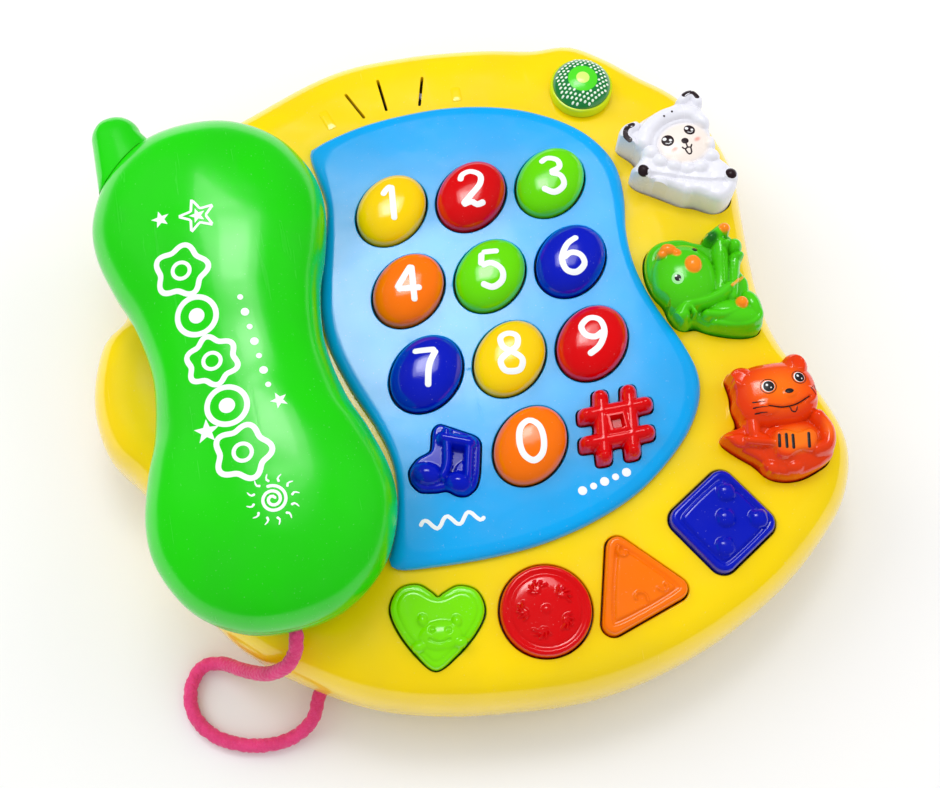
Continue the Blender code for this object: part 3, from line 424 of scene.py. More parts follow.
def flared_cutter(name, outline, low, surface, lip=0.45, grow=offset):
    """A cutter whose mouth widens at the surface, which rounds the hole's edge."""
    rings = [ring(outline, low), ring(outline, surface - lip * 1.3),
             ring(grow(outline, -lip * 0.3), surface - lip * 0.5),
             ring(grow(outline, -lip), surface), ring(grow(outline, -lip * 2.2), surface + lip)]
    return loft(name, rings)


def even_shading(made, sharp=38.0):
    """Shades large flat faces flat and the rest smooth."""
    made.data.shade_smooth()
    made.data.set_sharp_from_angle(angle=math.radians(sharp))
    modifier = made.modifiers.new("weighted_normals", "WEIGHTED_NORMAL")
    modifier.keep_sharp = True
    modifier.weight = 60


def face_outwards(pieces):
    for piece in pieces:
        work = bmesh.new()
        work.from_mesh(piece.data)
        bmesh.ops.recalc_face_normals(work, faces=work.faces)
        work.to_mesh(piece.data)
        work.free()


def finish_cut(made, finish, smooth_below=None):
    """Gives a cut piece one material, with even shading or smooth shading below an edge angle."""
    made.data.materials.clear()
    made.data.materials.append(finish)
    if smooth_below is None:
        even_shading(made)
    else:
        made.data.shade_smooth()
        made.data.set_sharp_from_angle(angle=math.radians(smooth_below))


def surface_below(made):
    """A function giving the height of an object's top surface at points in the plane."""
    bpy.context.view_layer.update()
    evaluated = made.evaluated_get(bpy.context.evaluated_depsgraph_get())
    mesh = evaluated.to_mesh()
    tree = BVHTree.FromPolygons([tuple(v.co) for v in mesh.vertices],
                                [tuple(p.vertices) for p in mesh.polygons])
    evaluated.to_mesh_clear()

    def height(points):
        hits = [tree.ray_cast(Vector((x * MM, y * MM, 0.2)), Vector((0, 0, -1)))[0] for x, y in points]
        found = np.array([np.nan if hit is None else hit.z / MM for hit in hits])
        found[np.isnan(found)] = np.nanmin(found)
        return found
    return height


class Prints:
    """Thin raised shapes laid on a surface, gathered into one piece."""

    def __init__(self, height, lift=0.12, sink=0.35):
        self.height, self.lift, self.sink = height, lift, sink
        self.vertices, self.faces = [], []

    def _add(self, points, lifts, faces, walls):
        """Closes a skin of points with a matching underside; walls lists the pairs along its edges."""
        start, count = len(self.vertices), len(points)
        z = self.height(points)
        self.vertices += np.column_stack([points, z + lifts]).tolist()
        self.vertices += np.column_stack([points, z - self.sink]).tolist()
        self.faces += [tuple(start + i for i in face) for face in faces]
        self.faces += [tuple(start + count + i for i in face[::-1]) for face in faces]
        for first, second in walls:
            self.faces.append((start + first, start + count + first, start + count + second, start + second))
        return self

    def line(self, path, width, closed=False, taper=False):
        """A ribbon of even width with round ends, its middle a little higher than its edges."""
        path = np.array(path, dtype=float)
        if closed:
            path = np.vstack([path, path[:1]])
        run = np.concatenate([[0.0], np.cumsum(np.linalg.norm(np.diff(path, axis=0), axis=1))])
        total, half = run[-1], width / 2
        if closed:
            stations = np.linspace(0, total, max(12, int(total / 0.6)), endpoint=False)
        else:
            ends = half * (1 - np.cos(np.linspace(0.05, math.pi / 2, 6)))
            inner = np.linspace(half, total - half,
                                max(2, int((total - width) / 0.6) + 1)) if total > width else []
            stations = np.unique(np.concatenate([ends, inner, total - ends]))
        places = np.column_stack([np.interp(stations, run, path[:, axis]) for axis in range(2)])
        step = 0.05
        ahead = np.column_stack([np.interp(np.minimum(stations + step, total), run, path[:, a])
                                 for a in range(2)])
        back = np.column_stack([np.interp(np.maximum(stations - step, 0), run, path[:, a]) for a in range(2)])
        along = (ahead - back) / (np.linalg.norm(ahead - back, axis=1)[:, None] + 1e-12)
        side = np.column_stack([-along[:, 1], along[:, 0]])
        widths = np.full(len(stations), half)
        if not closed:
            gap = np.minimum(np.minimum(stations, total - stations), half)
            widths = np.sqrt(np.maximum(half**2 - (half - gap) ** 2, 0.0)) + 0.02
        if taper:
            widths = widths * (1 - 0.65 * stations / total)
        rows = np.stack([places + side * (widths * part)[:, None] for part in (1.0, 0.0, -1.0)], axis=1)
        points = rows.reshape(-1, 2)
        lifts = np.tile([self.lift * 0.35, self.lift, self.lift * 0.35], len(stations))
        faces = []
        count = len(stations)
        for row in range(count if closed else count - 1):
            a, b = row * 3, (row + 1) % count * 3
            faces += [(a, a + 1, b + 1, b), (a + 1, a + 2, b + 2, b + 1)]
        if closed:
            rows = [(row * 3, (row + 1) % count * 3) for row in range(count)]
            return self._add(points, lifts, faces, [(b, a) for a, b in rows]
                             + [(a + 2, b + 2) for a, b in rows])
        rim = [i * 3 for i in range(count)] + [count * 3 - 2]
        rim = (rim + [i * 3 + 2 for i in range(count - 1, -1, -1)] + [1])[::-1]
        return self._add(points, lifts, faces, zip(rim, rim[1:] + rim[:1]))

    def patch(self, outline, centre=None, levels=3):
        """A filled shape, seen whole from its centre."""
        outline = np.array(outline, dtype=float)
        centre = outline.mean(axis=0) if centre is None else np.array(centre, dtype=float)
        rings = [centre + (outline - centre) * part for part in np.linspace(1.0, 0.0, levels + 1)[:-1]]
        points = np.vstack(rings + [centre[None, :]])
        count = len(outline)
        faces = []
        for level in range(levels - 1):
            for i in range(count):
                j = (i + 1) % count
                faces.append((level * count + i, level * count + j, (level + 1) * count + j,
                              (level + 1) * count + i))
        last = (levels - 1) * count
        faces += [(last + i, last + (i + 1) % count, count * levels) for i in range(count)]
        lifts = np.full(len(points), self.lift)
        lifts[:count] = self.lift * 0.4
        return self._add(points, lifts, faces, [((i + 1) % count, i) for i in range(count)])

    def disc(self, centre, rx, ry=None, angle=0.0, count=28):
        return self.patch(ellipse(centre, rx, rx if ry is None else ry, count, angle), centre)

    def make(self, name, finish, body, slot=None):
        made = add_mesh(name, self.vertices, self.faces, finish, body, 60.0)
        face_outwards([made])
        return made


def relief(name, outline, height, foot_z, finish, body, cell=0.42, paint=None):
    """A straight-sided piece whose top follows height(points, distance from the edge)."""
    outline = np.array(outline, dtype=float)
    low = outline.min(axis=0) - cell
    size = np.ceil((outline.max(axis=0) + cell - low) / cell).astype(int)
    xs, ys = low[0] + np.arange(size[0] + 1) * cell, low[1] + np.arange(size[1] + 1) * cell
    grid = np.stack(np.meshgrid(xs, ys, indexing="ij"), axis=-1)
    middles = (grid[:-1, :-1] + cell / 2).reshape(-1, 2)
    mask = is_inside(middles, outline).reshape(size)
    for _ in range(2):
        a, b, c, d = mask[:-1, :-1], mask[1:, :-1], mask[:-1, 1:], mask[1:, 1:]
        first, second = a & d & ~b & ~c, b & c & ~a & ~d
        mask[1:, :-1] |= first
        mask[:-1, :-1] |= second
    padded = np.pad(mask, 1)
    around = (padded[:-1, :-1].astype(int) + padded[1:, :-1] + padded[:-1, 1:] + padded[1:, 1:])
    used = around > 0
    index = -np.ones(used.shape, dtype=int)
    index[used] = np.arange(used.sum())
    points = grid[used]
    border = around[used] < 4
    starts, ends = outline, np.roll(outline, -1, axis=0)
    nearest = points[border].copy()
    best = np.full(len(nearest), 1e9)
    for start, end in zip(starts, ends):
        run = end - start
        part = np.clip(((points[border] - start) @ run) / (run @ run + 1e-12), 0, 1)
        place = start + part[:, None] * run
        gap = np.linalg.norm(points[border] - place, axis=1)
        nearest[gap < best] = place[gap < best]
        best = np.minimum(best, gap)
    points[border] = nearest
    distance = edge_distance(points, outline)
    distance[border] = 0.0
    cells = np.argwhere(mask)
    faces = [(index[i, j], index[i + 1, j], index[i + 1, j + 1], index[i, j + 1]) for i, j in cells]
    top = np.column_stack([points, height(points, distance)])
    work = bmesh.new()
    vertices = [work.verts.new(point) for point in top]
    for face in faces:
        work.faces.new([vertices[i] for i in face])
    bmesh.ops.dissolve_degenerate(work, dist=0.01, edges=work.edges)
    edges = [edge for edge in work.edges if edge.is_boundary]
    wall_top = bmesh.ops.extrude_edge_only(work, edges=edges)["geom"]
    foot = [item for item in wall_top if isinstance(item, bmesh.types.BMVert)]
    for vertex in foot:
        vertex.co.z = foot_z
    bmesh.ops.holes_fill(work, edges=[edge for edge in work.edges if edge.is_boundary], sides=0)
    bmesh.ops.recalc_face_normals(work, faces=work.faces)
    mesh = bpy.data.meshes.new(name)
    for vertex in work.verts:
        vertex.co *= MM
    work.to_mesh(mesh)
    work.free()
    mesh.shade_smooth()
    mesh.set_sharp_from_angle(angle=math.radians(50))
    if paint is not None:
        places = np.array([v.co for v in mesh.vertices]) / MM
        colours = np.ones((len(places), 4))
        colours[:, :3] = paint(places[:, :2])
        attribute = mesh.attributes.new("paint", "FLOAT_COLOR", "POINT")
        attribute.data.foreach_set("color", colours.astype(np.float32).ravel())
    mesh.materials.append(finish)
    made = bpy.data.objects.new(name, mesh)
    bpy.context.scene.collection.objects.link(made)
    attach(made, body)
    return made


# ---- Height shapes ------------------------------------------------------------------------------
def swell(distance, radius):
    """0 at an edge rising to 1 over a quarter round of the radius."""
    part = np.clip(distance / radius, 0.0, 1.0)
    return np.sqrt(np.maximum(0.0, 1.0 - (1.0 - part) ** 2))


def mound(points, centre, rx, ry=None, angle=0.0, power=2.0):
    """1 at an oval's centre, falling to 0 at its edge."""
    local = turned(points - np.array(centre), -angle)
    r = (np.abs(local[:, 0]) / rx) ** power + (np.abs(local[:, 1]) / (rx if ry is None else ry)) ** power
    return np.sqrt(np.maximum(0.0, 1.0 - r))


def roll(points, path, radius):
    """1 along a path, falling to 0 at the radius."""
    gap = edge_distance(points, smooth_path(path, 0.5) if len(path) > 2 else np.array(path, float), False)
    return np.sqrt(np.maximum(0.0, 1.0 - (gap / radius) ** 2))


def slab(points, outline, radius):
    """1 inside an outline, with a round shoulder."""
    outline = np.array(outline, dtype=float)
    return np.where(is_inside(points, outline), swell(edge_distance(points, outline), radius), 0.0)


def higher(first, second, softness=0.35):
    blend = np.clip(0.5 + 0.5 * (second - first) / softness, 0.0, 1.0)
    return first + (second - first) * blend + softness * blend * (1.0 - blend) * 0.5


def fluff(points, spacing, seed):
    """Rounded tufts packed at random."""
    rng = np.random.default_rng(seed)
    low, high = points.min(axis=0), points.max(axis=0)
    count = int(np.prod((high - low) / spacing)) + 1
    seeds = rng.uniform(low, high, (count, 2))
    nearest = np.full(len(points), 1e9)
    for place in seeds:
        nearest = np.minimum(nearest, np.linalg.norm(points - place, axis=1))
    return np.sqrt(np.maximum(0.0, 1.0 - (nearest / (spacing * 1.1)) ** 2))


# ---- Cord ---------------------------------------------------------------------------------------
CORD_DIAMETER = 4.0
CORD_ROUTE = [
    (-60.4, -70.6, 43.8), (-60.1, -74.5, 43.6), (-60.2, -78.6, 42.4), (-61.6, -82.0, 38.4),
    (-65.2, -84.4, 33.4), (-71.4, -83.6, 25.0), (-78.8, -79.2, 13.2), (-85.4, -74.6, 4.6),
    (-91.6, -74.0, 2.2), (-95.6, -79.0, 2.2), (-96.2, -86.0, 2.2), (-92.6, -92.8, 2.2),
    (-85.6, -97.6, 2.2), (-76.8, -100.0, 2.2), (-68.4, -99.4, 2.6), (-62.2, -96.0, 5.0),
    (-59.4, -90.8, 6.8), (-57.4, -86.2, 7.2),
]


def cord_material():
    g = Graph("cord_yarn")
    fibres = g.noise(4200.0, 2.0, 0.6, 0.0)
    fade = g.ramp(g.noise(140.0, 3.0), 0.35, 0.65, 0.0, 1.0)
    body = g.mix(fade, (0.86, 0.045, 0.23), (0.72, 0.03, 0.17))
    body = g.mix(g.ramp(fibres, 0.5, 0.75, 0.0, 0.35), body, (1.0, 0.22, 0.42))
    return g.set(Base_Color=body, Roughness=0.75, Sheen_Weight=0.35, Sheen_Roughness=0.4,
                        Normal=g.bump(fibres, 0.6, 0.0001))


def frames_along(path):
    """Two cross directions at each point of a path, carried along it without twist."""
    ahead = np.gradient(path, axis=0)
    ahead /= np.linalg.norm(ahead, axis=1)[:, None]
    side = np.cross(ahead[0], (0.0, 0.0, 1.0))
    sides = []
    for direction in ahead:
        side = side - direction * (side @ direction)
        side /= np.linalg.norm(side)
        sides.append(side)
    sides = np.array(sides)
    return sides, np.cross(ahead, sides)


def braid(name, path, diameter, finish, pairs=5, pitch=9.0):
    """Strands wound both ways round a core, each passing over and under the others."""
    strand = diameter * 0.15
    side, up = frames_along(path)
    run = np.concatenate([[0.0], np.cumsum(np.linalg.norm(np.diff(path, axis=0), axis=1))])
    corners = np.arange(6) * math.pi / 3
    vertices, faces = [], []

    def add_tube(centres, wide, tall, normals, across):
        start = len(vertices)
        for centre, n, a in zip(centres, normals, across):
            for corner in corners:
                vertices.append(centre + n * tall * math.sin(corner) + a * wide * math.cos(corner))
        faces.extend(loft_faces(6, len(centres), start))

    for hand in (1, -1):
        for number in range(pairs):
            angle = hand * (2 * math.pi * run / pitch) + 2 * math.pi * number / pairs
            weave = np.cos(pairs * 2 * math.pi * run / pitch + math.pi * number) * hand
            radius = diameter / 2 - strand * 1.05 + strand * 0.35 * weave
            out = side * np.cos(angle)[:, None] + up * np.sin(angle)[:, None]
            centres = path + out * radius[:, None]
            along = np.gradient(centres, axis=0)
            along /= np.linalg.norm(along, axis=1)[:, None]
            add_tube(centres, strand * 1.9, strand, out, np.cross(along, out))
    core = path[::3]
    core_side, core_up = side[::3], up[::3]
    add_tube(core, diameter * 0.33, diameter * 0.33, core_up, core_side)
    return add_mesh(name, vertices, faces, finish, None, 80.0)


def knot(name, centre, finish, node, body):
    """A tight overhand knot: a three-lobed loop of the same cord."""
    turns = np.linspace(0.0, 2 * math.pi, 61)
    path = np.column_stack([np.sin(turns) + 2 * np.sin(2 * turns), np.cos(turns) - 2 * np.cos(2 * turns),
                            -np.sin(3 * turns)]) * 0.55 + np.array(centre)
    side, up = frames_along(path)
    corners = np.arange(8) * math.pi / 4
    vertices = [p + (s * math.cos(c) + u * math.sin(c)) * 0.9 for p, s,
                u in zip(path, side, up) for c in corners]
    made = add_mesh(name, vertices, loft_faces(8, len(path)), finish, body, 80.0)
    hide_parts(node)
    return made


cord_path = smooth_path(CORD_ROUTE, 0.55)
yarn = cord_material()
cord_piece = braid("braided_cord", cord_path, CORD_DIAMETER, yarn)
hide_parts("cord")
for knot_name, knot_body in (("cord_knot_handset", "handset"), ("cord_knot_base", "base")):
    corners_of_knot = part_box(knot_name)
    knot(f"{knot_name}_turns", (corners_of_knot[0] + corners_of_knot[1]) / 2 / MM,
                      yarn, knot_name,
                      knot_body)
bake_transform(cord_piece)


# ---- Base ---------------------------------------------------------------------------------------
TOP_Z = 35.0
SPLIT_Z = 12.0
WALL = 2.4
BASE_OUTLINE = [
    (5, -108), (22, -108), (40, -105), (60, -98.5), (79, -89), (95, -77), (105, -66), (110, -52),
    (107, -36), (100, -20), (97.5, -6), (98, 10), (100, 28), (101.5, 44), (98.5, 60), (91, 75),
    (80, 85.5), (70, 95), (60, 101.5), (47, 102.5), (30, 106), (5, 108.2), (-20, 106.5), (-47, 96.5),
    (-72, 84), (-88, 66), (-94.5, 46), (-98, 31), (-106, 23), (-110.3, 6), (-108, -10), (-100.5, -21),
    (-93, -34), (-91, -50), (-84, -66), (-74, -78), (-62, -87.5), (-44, -98), (-22, -104.5),
]
PANEL_OUTLINE = [
    (-32.2, 70.5), (-31.4, 62), (-30.2, 53), (-31.6, 44), (-35.2, 31), (-37.8, 18), (-37.4, 5),
    (-33.4, -9.5), (-29.0, -20.5), (-26.2, -30), (-25.6, -38), (-26.6, -46), (-29.0, -54.5),
    (-31.8, -61.5), (-29.5, -64.6), (-20, -65.8), (-4, -66.4), (12, -65.4), (28, -61.8), (43, -55.5),
    (57, -45), (65, -35), (68, -25), (66, -14), (61.5, -2), (58.5, 11), (58.5, 24), (61, 37), (61.2, 48),
    (58, 56.5), (52, 64), (42, 71), (30, 76), (14, 79), (-2, 79), (-16, 77.3), (-29.5, 73.2),
]
PANEL_FACE_Z = 38.4
LAMB_OUTLINE = [
    (63.8, 42.4), (66, 39.4), (69.5, 37.2), (74.9, 33.4), (78.2, 31), (81.8, 30.2), (87.1, 26.8),
    (91.2, 27.8), (94.4, 31), (95.2, 35.1), (93.6, 38.6), (91.4, 42), (90.9, 46.5), (91.4, 52), (91, 58.5),
    (91, 62.2), (88.6, 65.2), (85.6, 64.8), (83.4, 62.9), (76.7, 61), (72, 59.2), (68.6, 57.6), (65.1, 57),
    (62.6, 54.6), (64.4, 52.3), (67.2, 49.4), (67.8, 46.4), (65.4, 43.8),
]
DRAGON_OUTLINE = [
    (73.7, 18.4), (68.4, 18.8), (64.8, 17.8), (62.2, 15.2), (61, 11), (60.9, 6.5), (61.8, 2.4), (64.2, -1.6),
    (64.3, -5.2), (65.6, -8.5), (68, -10.2), (71, -9.4), (74, -11.6), (79, -13.8), (84.5, -15.4),
    (89, -15.4), (91.4, -12.2), (91.6, -8), (89.9, -3.2), (90.3, 1), (88.9, 5), (90.9, 9.7), (90.8, 13.2),
    (88.8, 16.6), (87.6, 19.4), (84.6, 19.8), (81.4, 18.2), (80.6, 15.6), (77.4, 16.6),
]
CAT_OUTLINE = [
    (75.2, -27.6), (75.6, -30.5), (75.7, -34.5), (74.7, -37.5), (75.4, -41), (74.6, -43.8), (70.8, -44.5),
    (68.5, -46), (70.2, -48.4), (73.5, -51.9), (77.2, -55.3), (79.2, -59), (83.8, -61.2), (88.8, -61.5),
    (93.7, -60.2), (98.2, -58.2), (100.2, -54.5), (100.6, -49.8), (98.2, -44), (99.5, -40), (98.9, -34.8),
    (97.7, -29.2), (95.8, -26.2), (92.6, -26.6), (87, -27.2), (81, -27.4), (77.6, -26.9),
]
CIRCLE_CENTRE, CIRCLE_RADIUS = (8.0, -84.0), 12.75
SQUARE_CENTRE, SQUARE_SIDE, SQUARE_TURN = (63.0, -69.2), 23.5, math.radians(31)
TRIANGLE = [(20.8, -96.2), (50.8, -86.8), (30.4, -64.4)]
HEART_CENTRE, HEART_TURN = (-22.4, -82.2), math.radians(-13)
HEART_HALF = [(0, -11.8), (5.6, -7.6), (10.6, -1.4), (13.0, 4.6), (10.8, 10.0), (5.8, 11.4), (1.9, 9.4),
              (0, 8.0)]
LENS_CENTRE = (57.0, 78.0)
SLOTS = [((-17.5, 91.5), (-13.0, 81.5)), ((-6.4, 94.8), (-5.6, 82.8)), ((8.0, 93.2), (5.0, 82.6))]
HANDSET_CENTRE, HANDSET_TURN = (-62.75, 0.0), math.radians(2.8)
CUP_ALONG, CUP_RADIUS, WELL_RADIUS, WELL_FLOOR_Z = 46.0, 16.5, 18.0, 27.0
SCREW_POSTS = [(28, 96), (-42, 88), (92, -21), (91, -67), (-99, 4), (-42, -88)]
FEET = [(-72, 66), (72, 80), (88, -60), (-62, -70)]
BAY_CENTRE, BAY_SIZE = (14.0, 2.0), (60.4, 47.0)
DOOR_EAR = 14.0
BASE_POINTS = 260


def on_handset(across, along):
    return tuple(turned([(across, along)], HANDSET_TURN, HANDSET_CENTRE)[0])


def drawn_in(outline, amount):
    """An outline drawn in towards the origin by one distance all round."""
    reach = np.linalg.norm(outline, axis=1)[:, None]
    return outline * (1.0 - amount / reach)


def shoulder(z, reach=16.0, power=2.6):
    """How far the base's skin lies inside its widest outline at a height."""
    part = np.clip((z - 15.0) / (TOP_Z - 15.0), 0.0, 1.0)
    upper = reach * (1.0 - (1.0 - part**power) ** (1.0 / power))
    lower = 3.6 * np.clip((15.0 - z) / 13.5, 0.0, 1.0) ** 2.0
    return upper + lower


base_outline = smooth_loop(BASE_OUTLINE, BASE_POINTS)
panel_outline = smooth_loop(PANEL_OUTLINE, 220)
heart_left = [(-x, y) for x, y in HEART_HALF[-2:0:-1]]
shapes = {
    "heart": turned(smooth_loop(HEART_HALF + heart_left, 130), HEART_TURN, HEART_CENTRE),
    "circle": ellipse(CIRCLE_CENTRE, CIRCLE_RADIUS, CIRCLE_RADIUS, 110),
    "triangle": rounded_polygon(TRIANGLE, 3.2, 12),
    "square": rounded_polygon(rectangle(SQUARE_CENTRE, (SQUARE_SIDE, SQUARE_SIDE), SQUARE_TURN), 4.0, 12),
}
figures = {
    "lamb": smooth_loop(LAMB_OUTLINE, 150),
    "dragon": smooth_loop(DRAGON_OUTLINE, 150),
    "cat": smooth_loop(CAT_OUTLINE, 150),
}


def make_base_top():
    finish = plastic("body_abs", YELLOW, 0.15)
    heights = [SPLIT_Z + 0.15, 14, 17, 20, 22.5, 25, 27, 28.8, 30.3, 31.6, 32.6,
               33.4, 34.0, 34.45, 34.75, 34.93, TOP_Z]
    made = loft("base_top", [ring(drawn_in(base_outline, float(shoulder(z))), z) for z in heights], finish)
    inner = [(SPLIT_Z - 3, 3.0), (SPLIT_Z + 6, 2.6), (24, 3.2), (28, 5.4), (31, 9.5), (TOP_Z - WALL, 18.0)]
    tools = [loft("base_hollow", [ring(drawn_in(base_outline, a), z) for z, a in inner])]
    tools.append(flared_cutter("panel_hole", offset(panel_outline, 0.9), 28, TOP_Z, 0.3))
    for name, outline in shapes.items():
        tools.append(flared_cutter(f"{name}_hole", offset(outline, -0.5), 26, TOP_Z))
    for name, outline in figures.items():
        tools.append(flared_cutter(f"{name}_hole", eased_inset(outline, -0.55), 26, TOP_Z, 0.25, eased_inset))
    tools.append(flared_cutter("lens_hole", ellipse(LENS_CENTRE, 9.4, 9.4, 64), 28, TOP_Z, 0.3))
    boolean(made, tools)
    for label, along in (("ear", CUP_ALONG), ("mouth", -CUP_ALONG)):
        centre = on_handset(0, along)
        well = [(WELL_RADIUS + 2.0, WELL_FLOOR_Z - 2.0), (WELL_RADIUS + 2.0, TOP_Z - 2.0)]
        boolean(made, [cylinder(f"{label}_well", centre, well, 72)], "UNION")
        bore = [(WELL_RADIUS - 3.0, WELL_FLOOR_Z), (WELL_RADIUS - 1.5, WELL_FLOOR_Z + 0.4),
                (WELL_RADIUS - 0.9, WELL_FLOOR_Z + 1.6), (WELL_RADIUS - 0.1, TOP_Z - 0.7),
                (WELL_RADIUS + 0.5, TOP_Z), (WELL_RADIUS + 1.5, TOP_Z + 1.0)]
        boolean(made, [cylinder(f"{label}_bore", centre, bore, 72)])
    slots = []
    for number, (start, end) in enumerate(SLOTS):
        start, end = np.array(start), np.array(end)
        run = end - start
        corners = rectangle((start + end) / 2, (float(np.linalg.norm(run)), 0.9), math.atan2(run[1], run[0]))
        slots.append(flared_cutter(f"slot_{number}", rounded_polygon(corners, 0.42, 5), 28, TOP_Z, 0.12))
    boolean(made, slots)
    finish_cut(made, finish)
    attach(made, "base")
    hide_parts("base_top_shell")
    tabs = Prints(surface_below(made), 0.3)
    for start, end in (((-25.8, 86.4), (-23.6, 79.6)), ((17.6, 87.2), (17.3, 82.0))):
        start, run = np.array(start), np.array(end) - np.array(start)
        box = rectangle(start + run / 2, (float(np.linalg.norm(run)), 3.0), math.atan2(run[1], run[0]))
        tabs.patch(rounded_polygon(box, 0.8, 4))
    tabs.make("speaker_tabs", finish, "base", "body_yellow")


def door_outline(clearance=0.0):
    length = BAY_SIZE[0] + 4.0 + DOOR_EAR + 2 * clearance
    centre = (BAY_CENTRE[0] + DOOR_EAR / 2, BAY_CENTRE[1])
    return rectangle(centre, (length, BAY_SIZE[1] + 4.0 + 2 * clearance))


def make_base_bottom():
    finish = plastic("body_abs", YELLOW, 0.15)
    heights = [1.5, 1.7, 2.2, 3.2, 5.0, 7.5, 10.0, SPLIT_Z - 0.6, SPLIT_Z - 0.15]
    edge = [2.4, 1.2, 0.5, 0.1, 0.0, 0.0, 0.0, 0.0, 0.25]
    rings = [ring(drawn_in(base_outline, float(shoulder(z)) + e), z) for z, e in zip(heights, edge)]
    made = loft("base_bottom", rings, finish)
    tray = [(4.0, WALL + 7.0), (5.0, WALL + 3.6), (9.0, WALL + 1.4), (SPLIT_Z + 4, WALL + 1.0)]
    boolean(made, [loft("tray", [ring(drawn_in(base_outline, a), z) for z, a in tray])])
    outer = rectangle(BAY_CENTRE, (BAY_SIZE[0] + 3.2, BAY_SIZE[1] + 3.2))
    boolean(made, [loft("bay", [ring(outer, 2.5), ring(outer, 20.9)]),
                   loft("ledge", [ring(door_outline(2.0), 2.5), ring(door_outline(2.0), 5.7)])], "UNION")
    for number, foot in enumerate(FEET):
        profile = [(4.9, 0.0), (5.5, 0.15), (5.95, 0.6), (6.3, 1.2), (6.6, 2.5)]
        boolean(made, [cylinder(f"foot_{number}", foot, profile, 40)], "UNION")
    space = rectangle(BAY_CENTRE, BAY_SIZE)
    tools = [loft("bay_space", [ring(space, -1.0), ring(space, 19.3)])]
    recess = rounded_polygon(door_outline(0.3), 2.0, 6)
    tools.append(loft("door_recess", [ring(offset(recess, -0.8), 0.7), ring(offset(recess, -0.4), 1.5),
                                      ring(recess, 2.0), ring(recess, 3.9)]))
    for number, post in enumerate(SCREW_POSTS):
        tools.append(cylinder(f"seat_{number}", post, [(4.2, 0.5), (3.5, 1.6), (3.1, 2.2), (3.1, 8.5)], 32))
    inner, outer = np.array(CORD_ROUTE[-1]), np.array(CORD_ROUTE[-2])
    along = (outer - inner) / np.linalg.norm(outer - inner)
    side, up = frames_along(np.array([inner, inner + along]))
    corners = np.arange(28) * 2 * math.pi / 28
    inlet = []
    for reach, radius in ((-8, 2.7), (3.4, 2.7), (4.6, 3.0), (8, 4.4)):
        inlet.append(np.array([inner + along * reach + (side[0] * math.cos(c) + up[0] * math.sin(c)) * radius
                               for c in corners]))
    tools.append(loft("cord_inlet", inlet))
    face_outwards(tools)
    boolean(made, tools)
    finish_cut(made, finish)
    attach(made, "base")
    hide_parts("base_bottom_shell")


make_base_top()
make_base_bottom()


# ---- Panel and keys -----------------------------------------------------------------------------
KEY_COLUMNS = (-11.0, 14.0, 39.0)
KEY_ROWS = (45.2, 17.7, -9.7, -37.2)
KEY_LENGTH, KEY_WIDTH, KEY_LEAN = 25.0, 19.5, math.radians(43)
KEY_TOP_Z = 44.2
KEY_COLOURS = {"1": "yellow", "2": "red", "3": "green", "4": "orange", "5": "green", "6": "blue", "7": "blue",
               "8": "yellow", "9": "red", "0": "orange"}
NOTE_OUTLINE = [
    (-10.6, -25.6), (-12.6, -27.2), (-14.2, -33.6), (-18.6, -34.8), (-21.6, -37.8), (-21.7, -41.2),
    (-19.8, -44.4), (-14.8, -45.4), (-12.0, -45.2), (-9.4, -47.6), (-6.8, -48.2), (-3.8, -46.4),
    (-2.2, -43.0), (0.2, -33.4), (-0.6, -31.6),
]
NOTE_WINDOW = [(-10.7, -32.4), (-12.5, -41.8), (-9.9, -42.8), (-7.9, -39.2), (-5.1, -37.9), (-4.1, -35.2)]
HASH_CENTRE = (39.6, -36.2)
HASH_REACH, HASH_OFFSET, HASH_BAR, HASH_SLANT = 11.2, 4.2, 2.3, 0.18


def key_place(label):
    if label == "0":
        return (KEY_COLUMNS[1], KEY_ROWS[3])
    number = int(label) - 1
    return (KEY_COLUMNS[number % 3], KEY_ROWS[number // 3])


def egg(centre, length, width, count=72):
    return ellipse(centre, width / 2, length / 2, count, -KEY_LEAN)


def hash_outline(reach, middle, half_bar):
    near, far = middle - half_bar, middle + half_bar
    quarter = [(reach, -far), (reach, -near), (far, -near), (far, near), (reach, near),
               (reach, far), (far, far)]
    flat = np.vstack([turned(quarter, math.pi / 2 * turn) for turn in range(4)])
    flat[:, 0] += flat[:, 1] * HASH_SLANT
    return flat + np.array(HASH_CENTRE)


def rounded_loop(corners, rounds, count):
    """A polygon smoothed into an even loop by averaging its points a few times."""
    points = even(np.vstack([corners, corners[:1]]), count, True)
    for _ in range(rounds):
        points = 0.5 * points + 0.25 * (np.roll(points, 1, axis=0) + np.roll(points, -1, axis=0))
    return points


note_outline = rounded_loop(np.array(NOTE_OUTLINE), 14, 200)
hash_loop = rounded_loop(hash_outline(HASH_REACH, HASH_OFFSET, HASH_BAR), 10, 300)


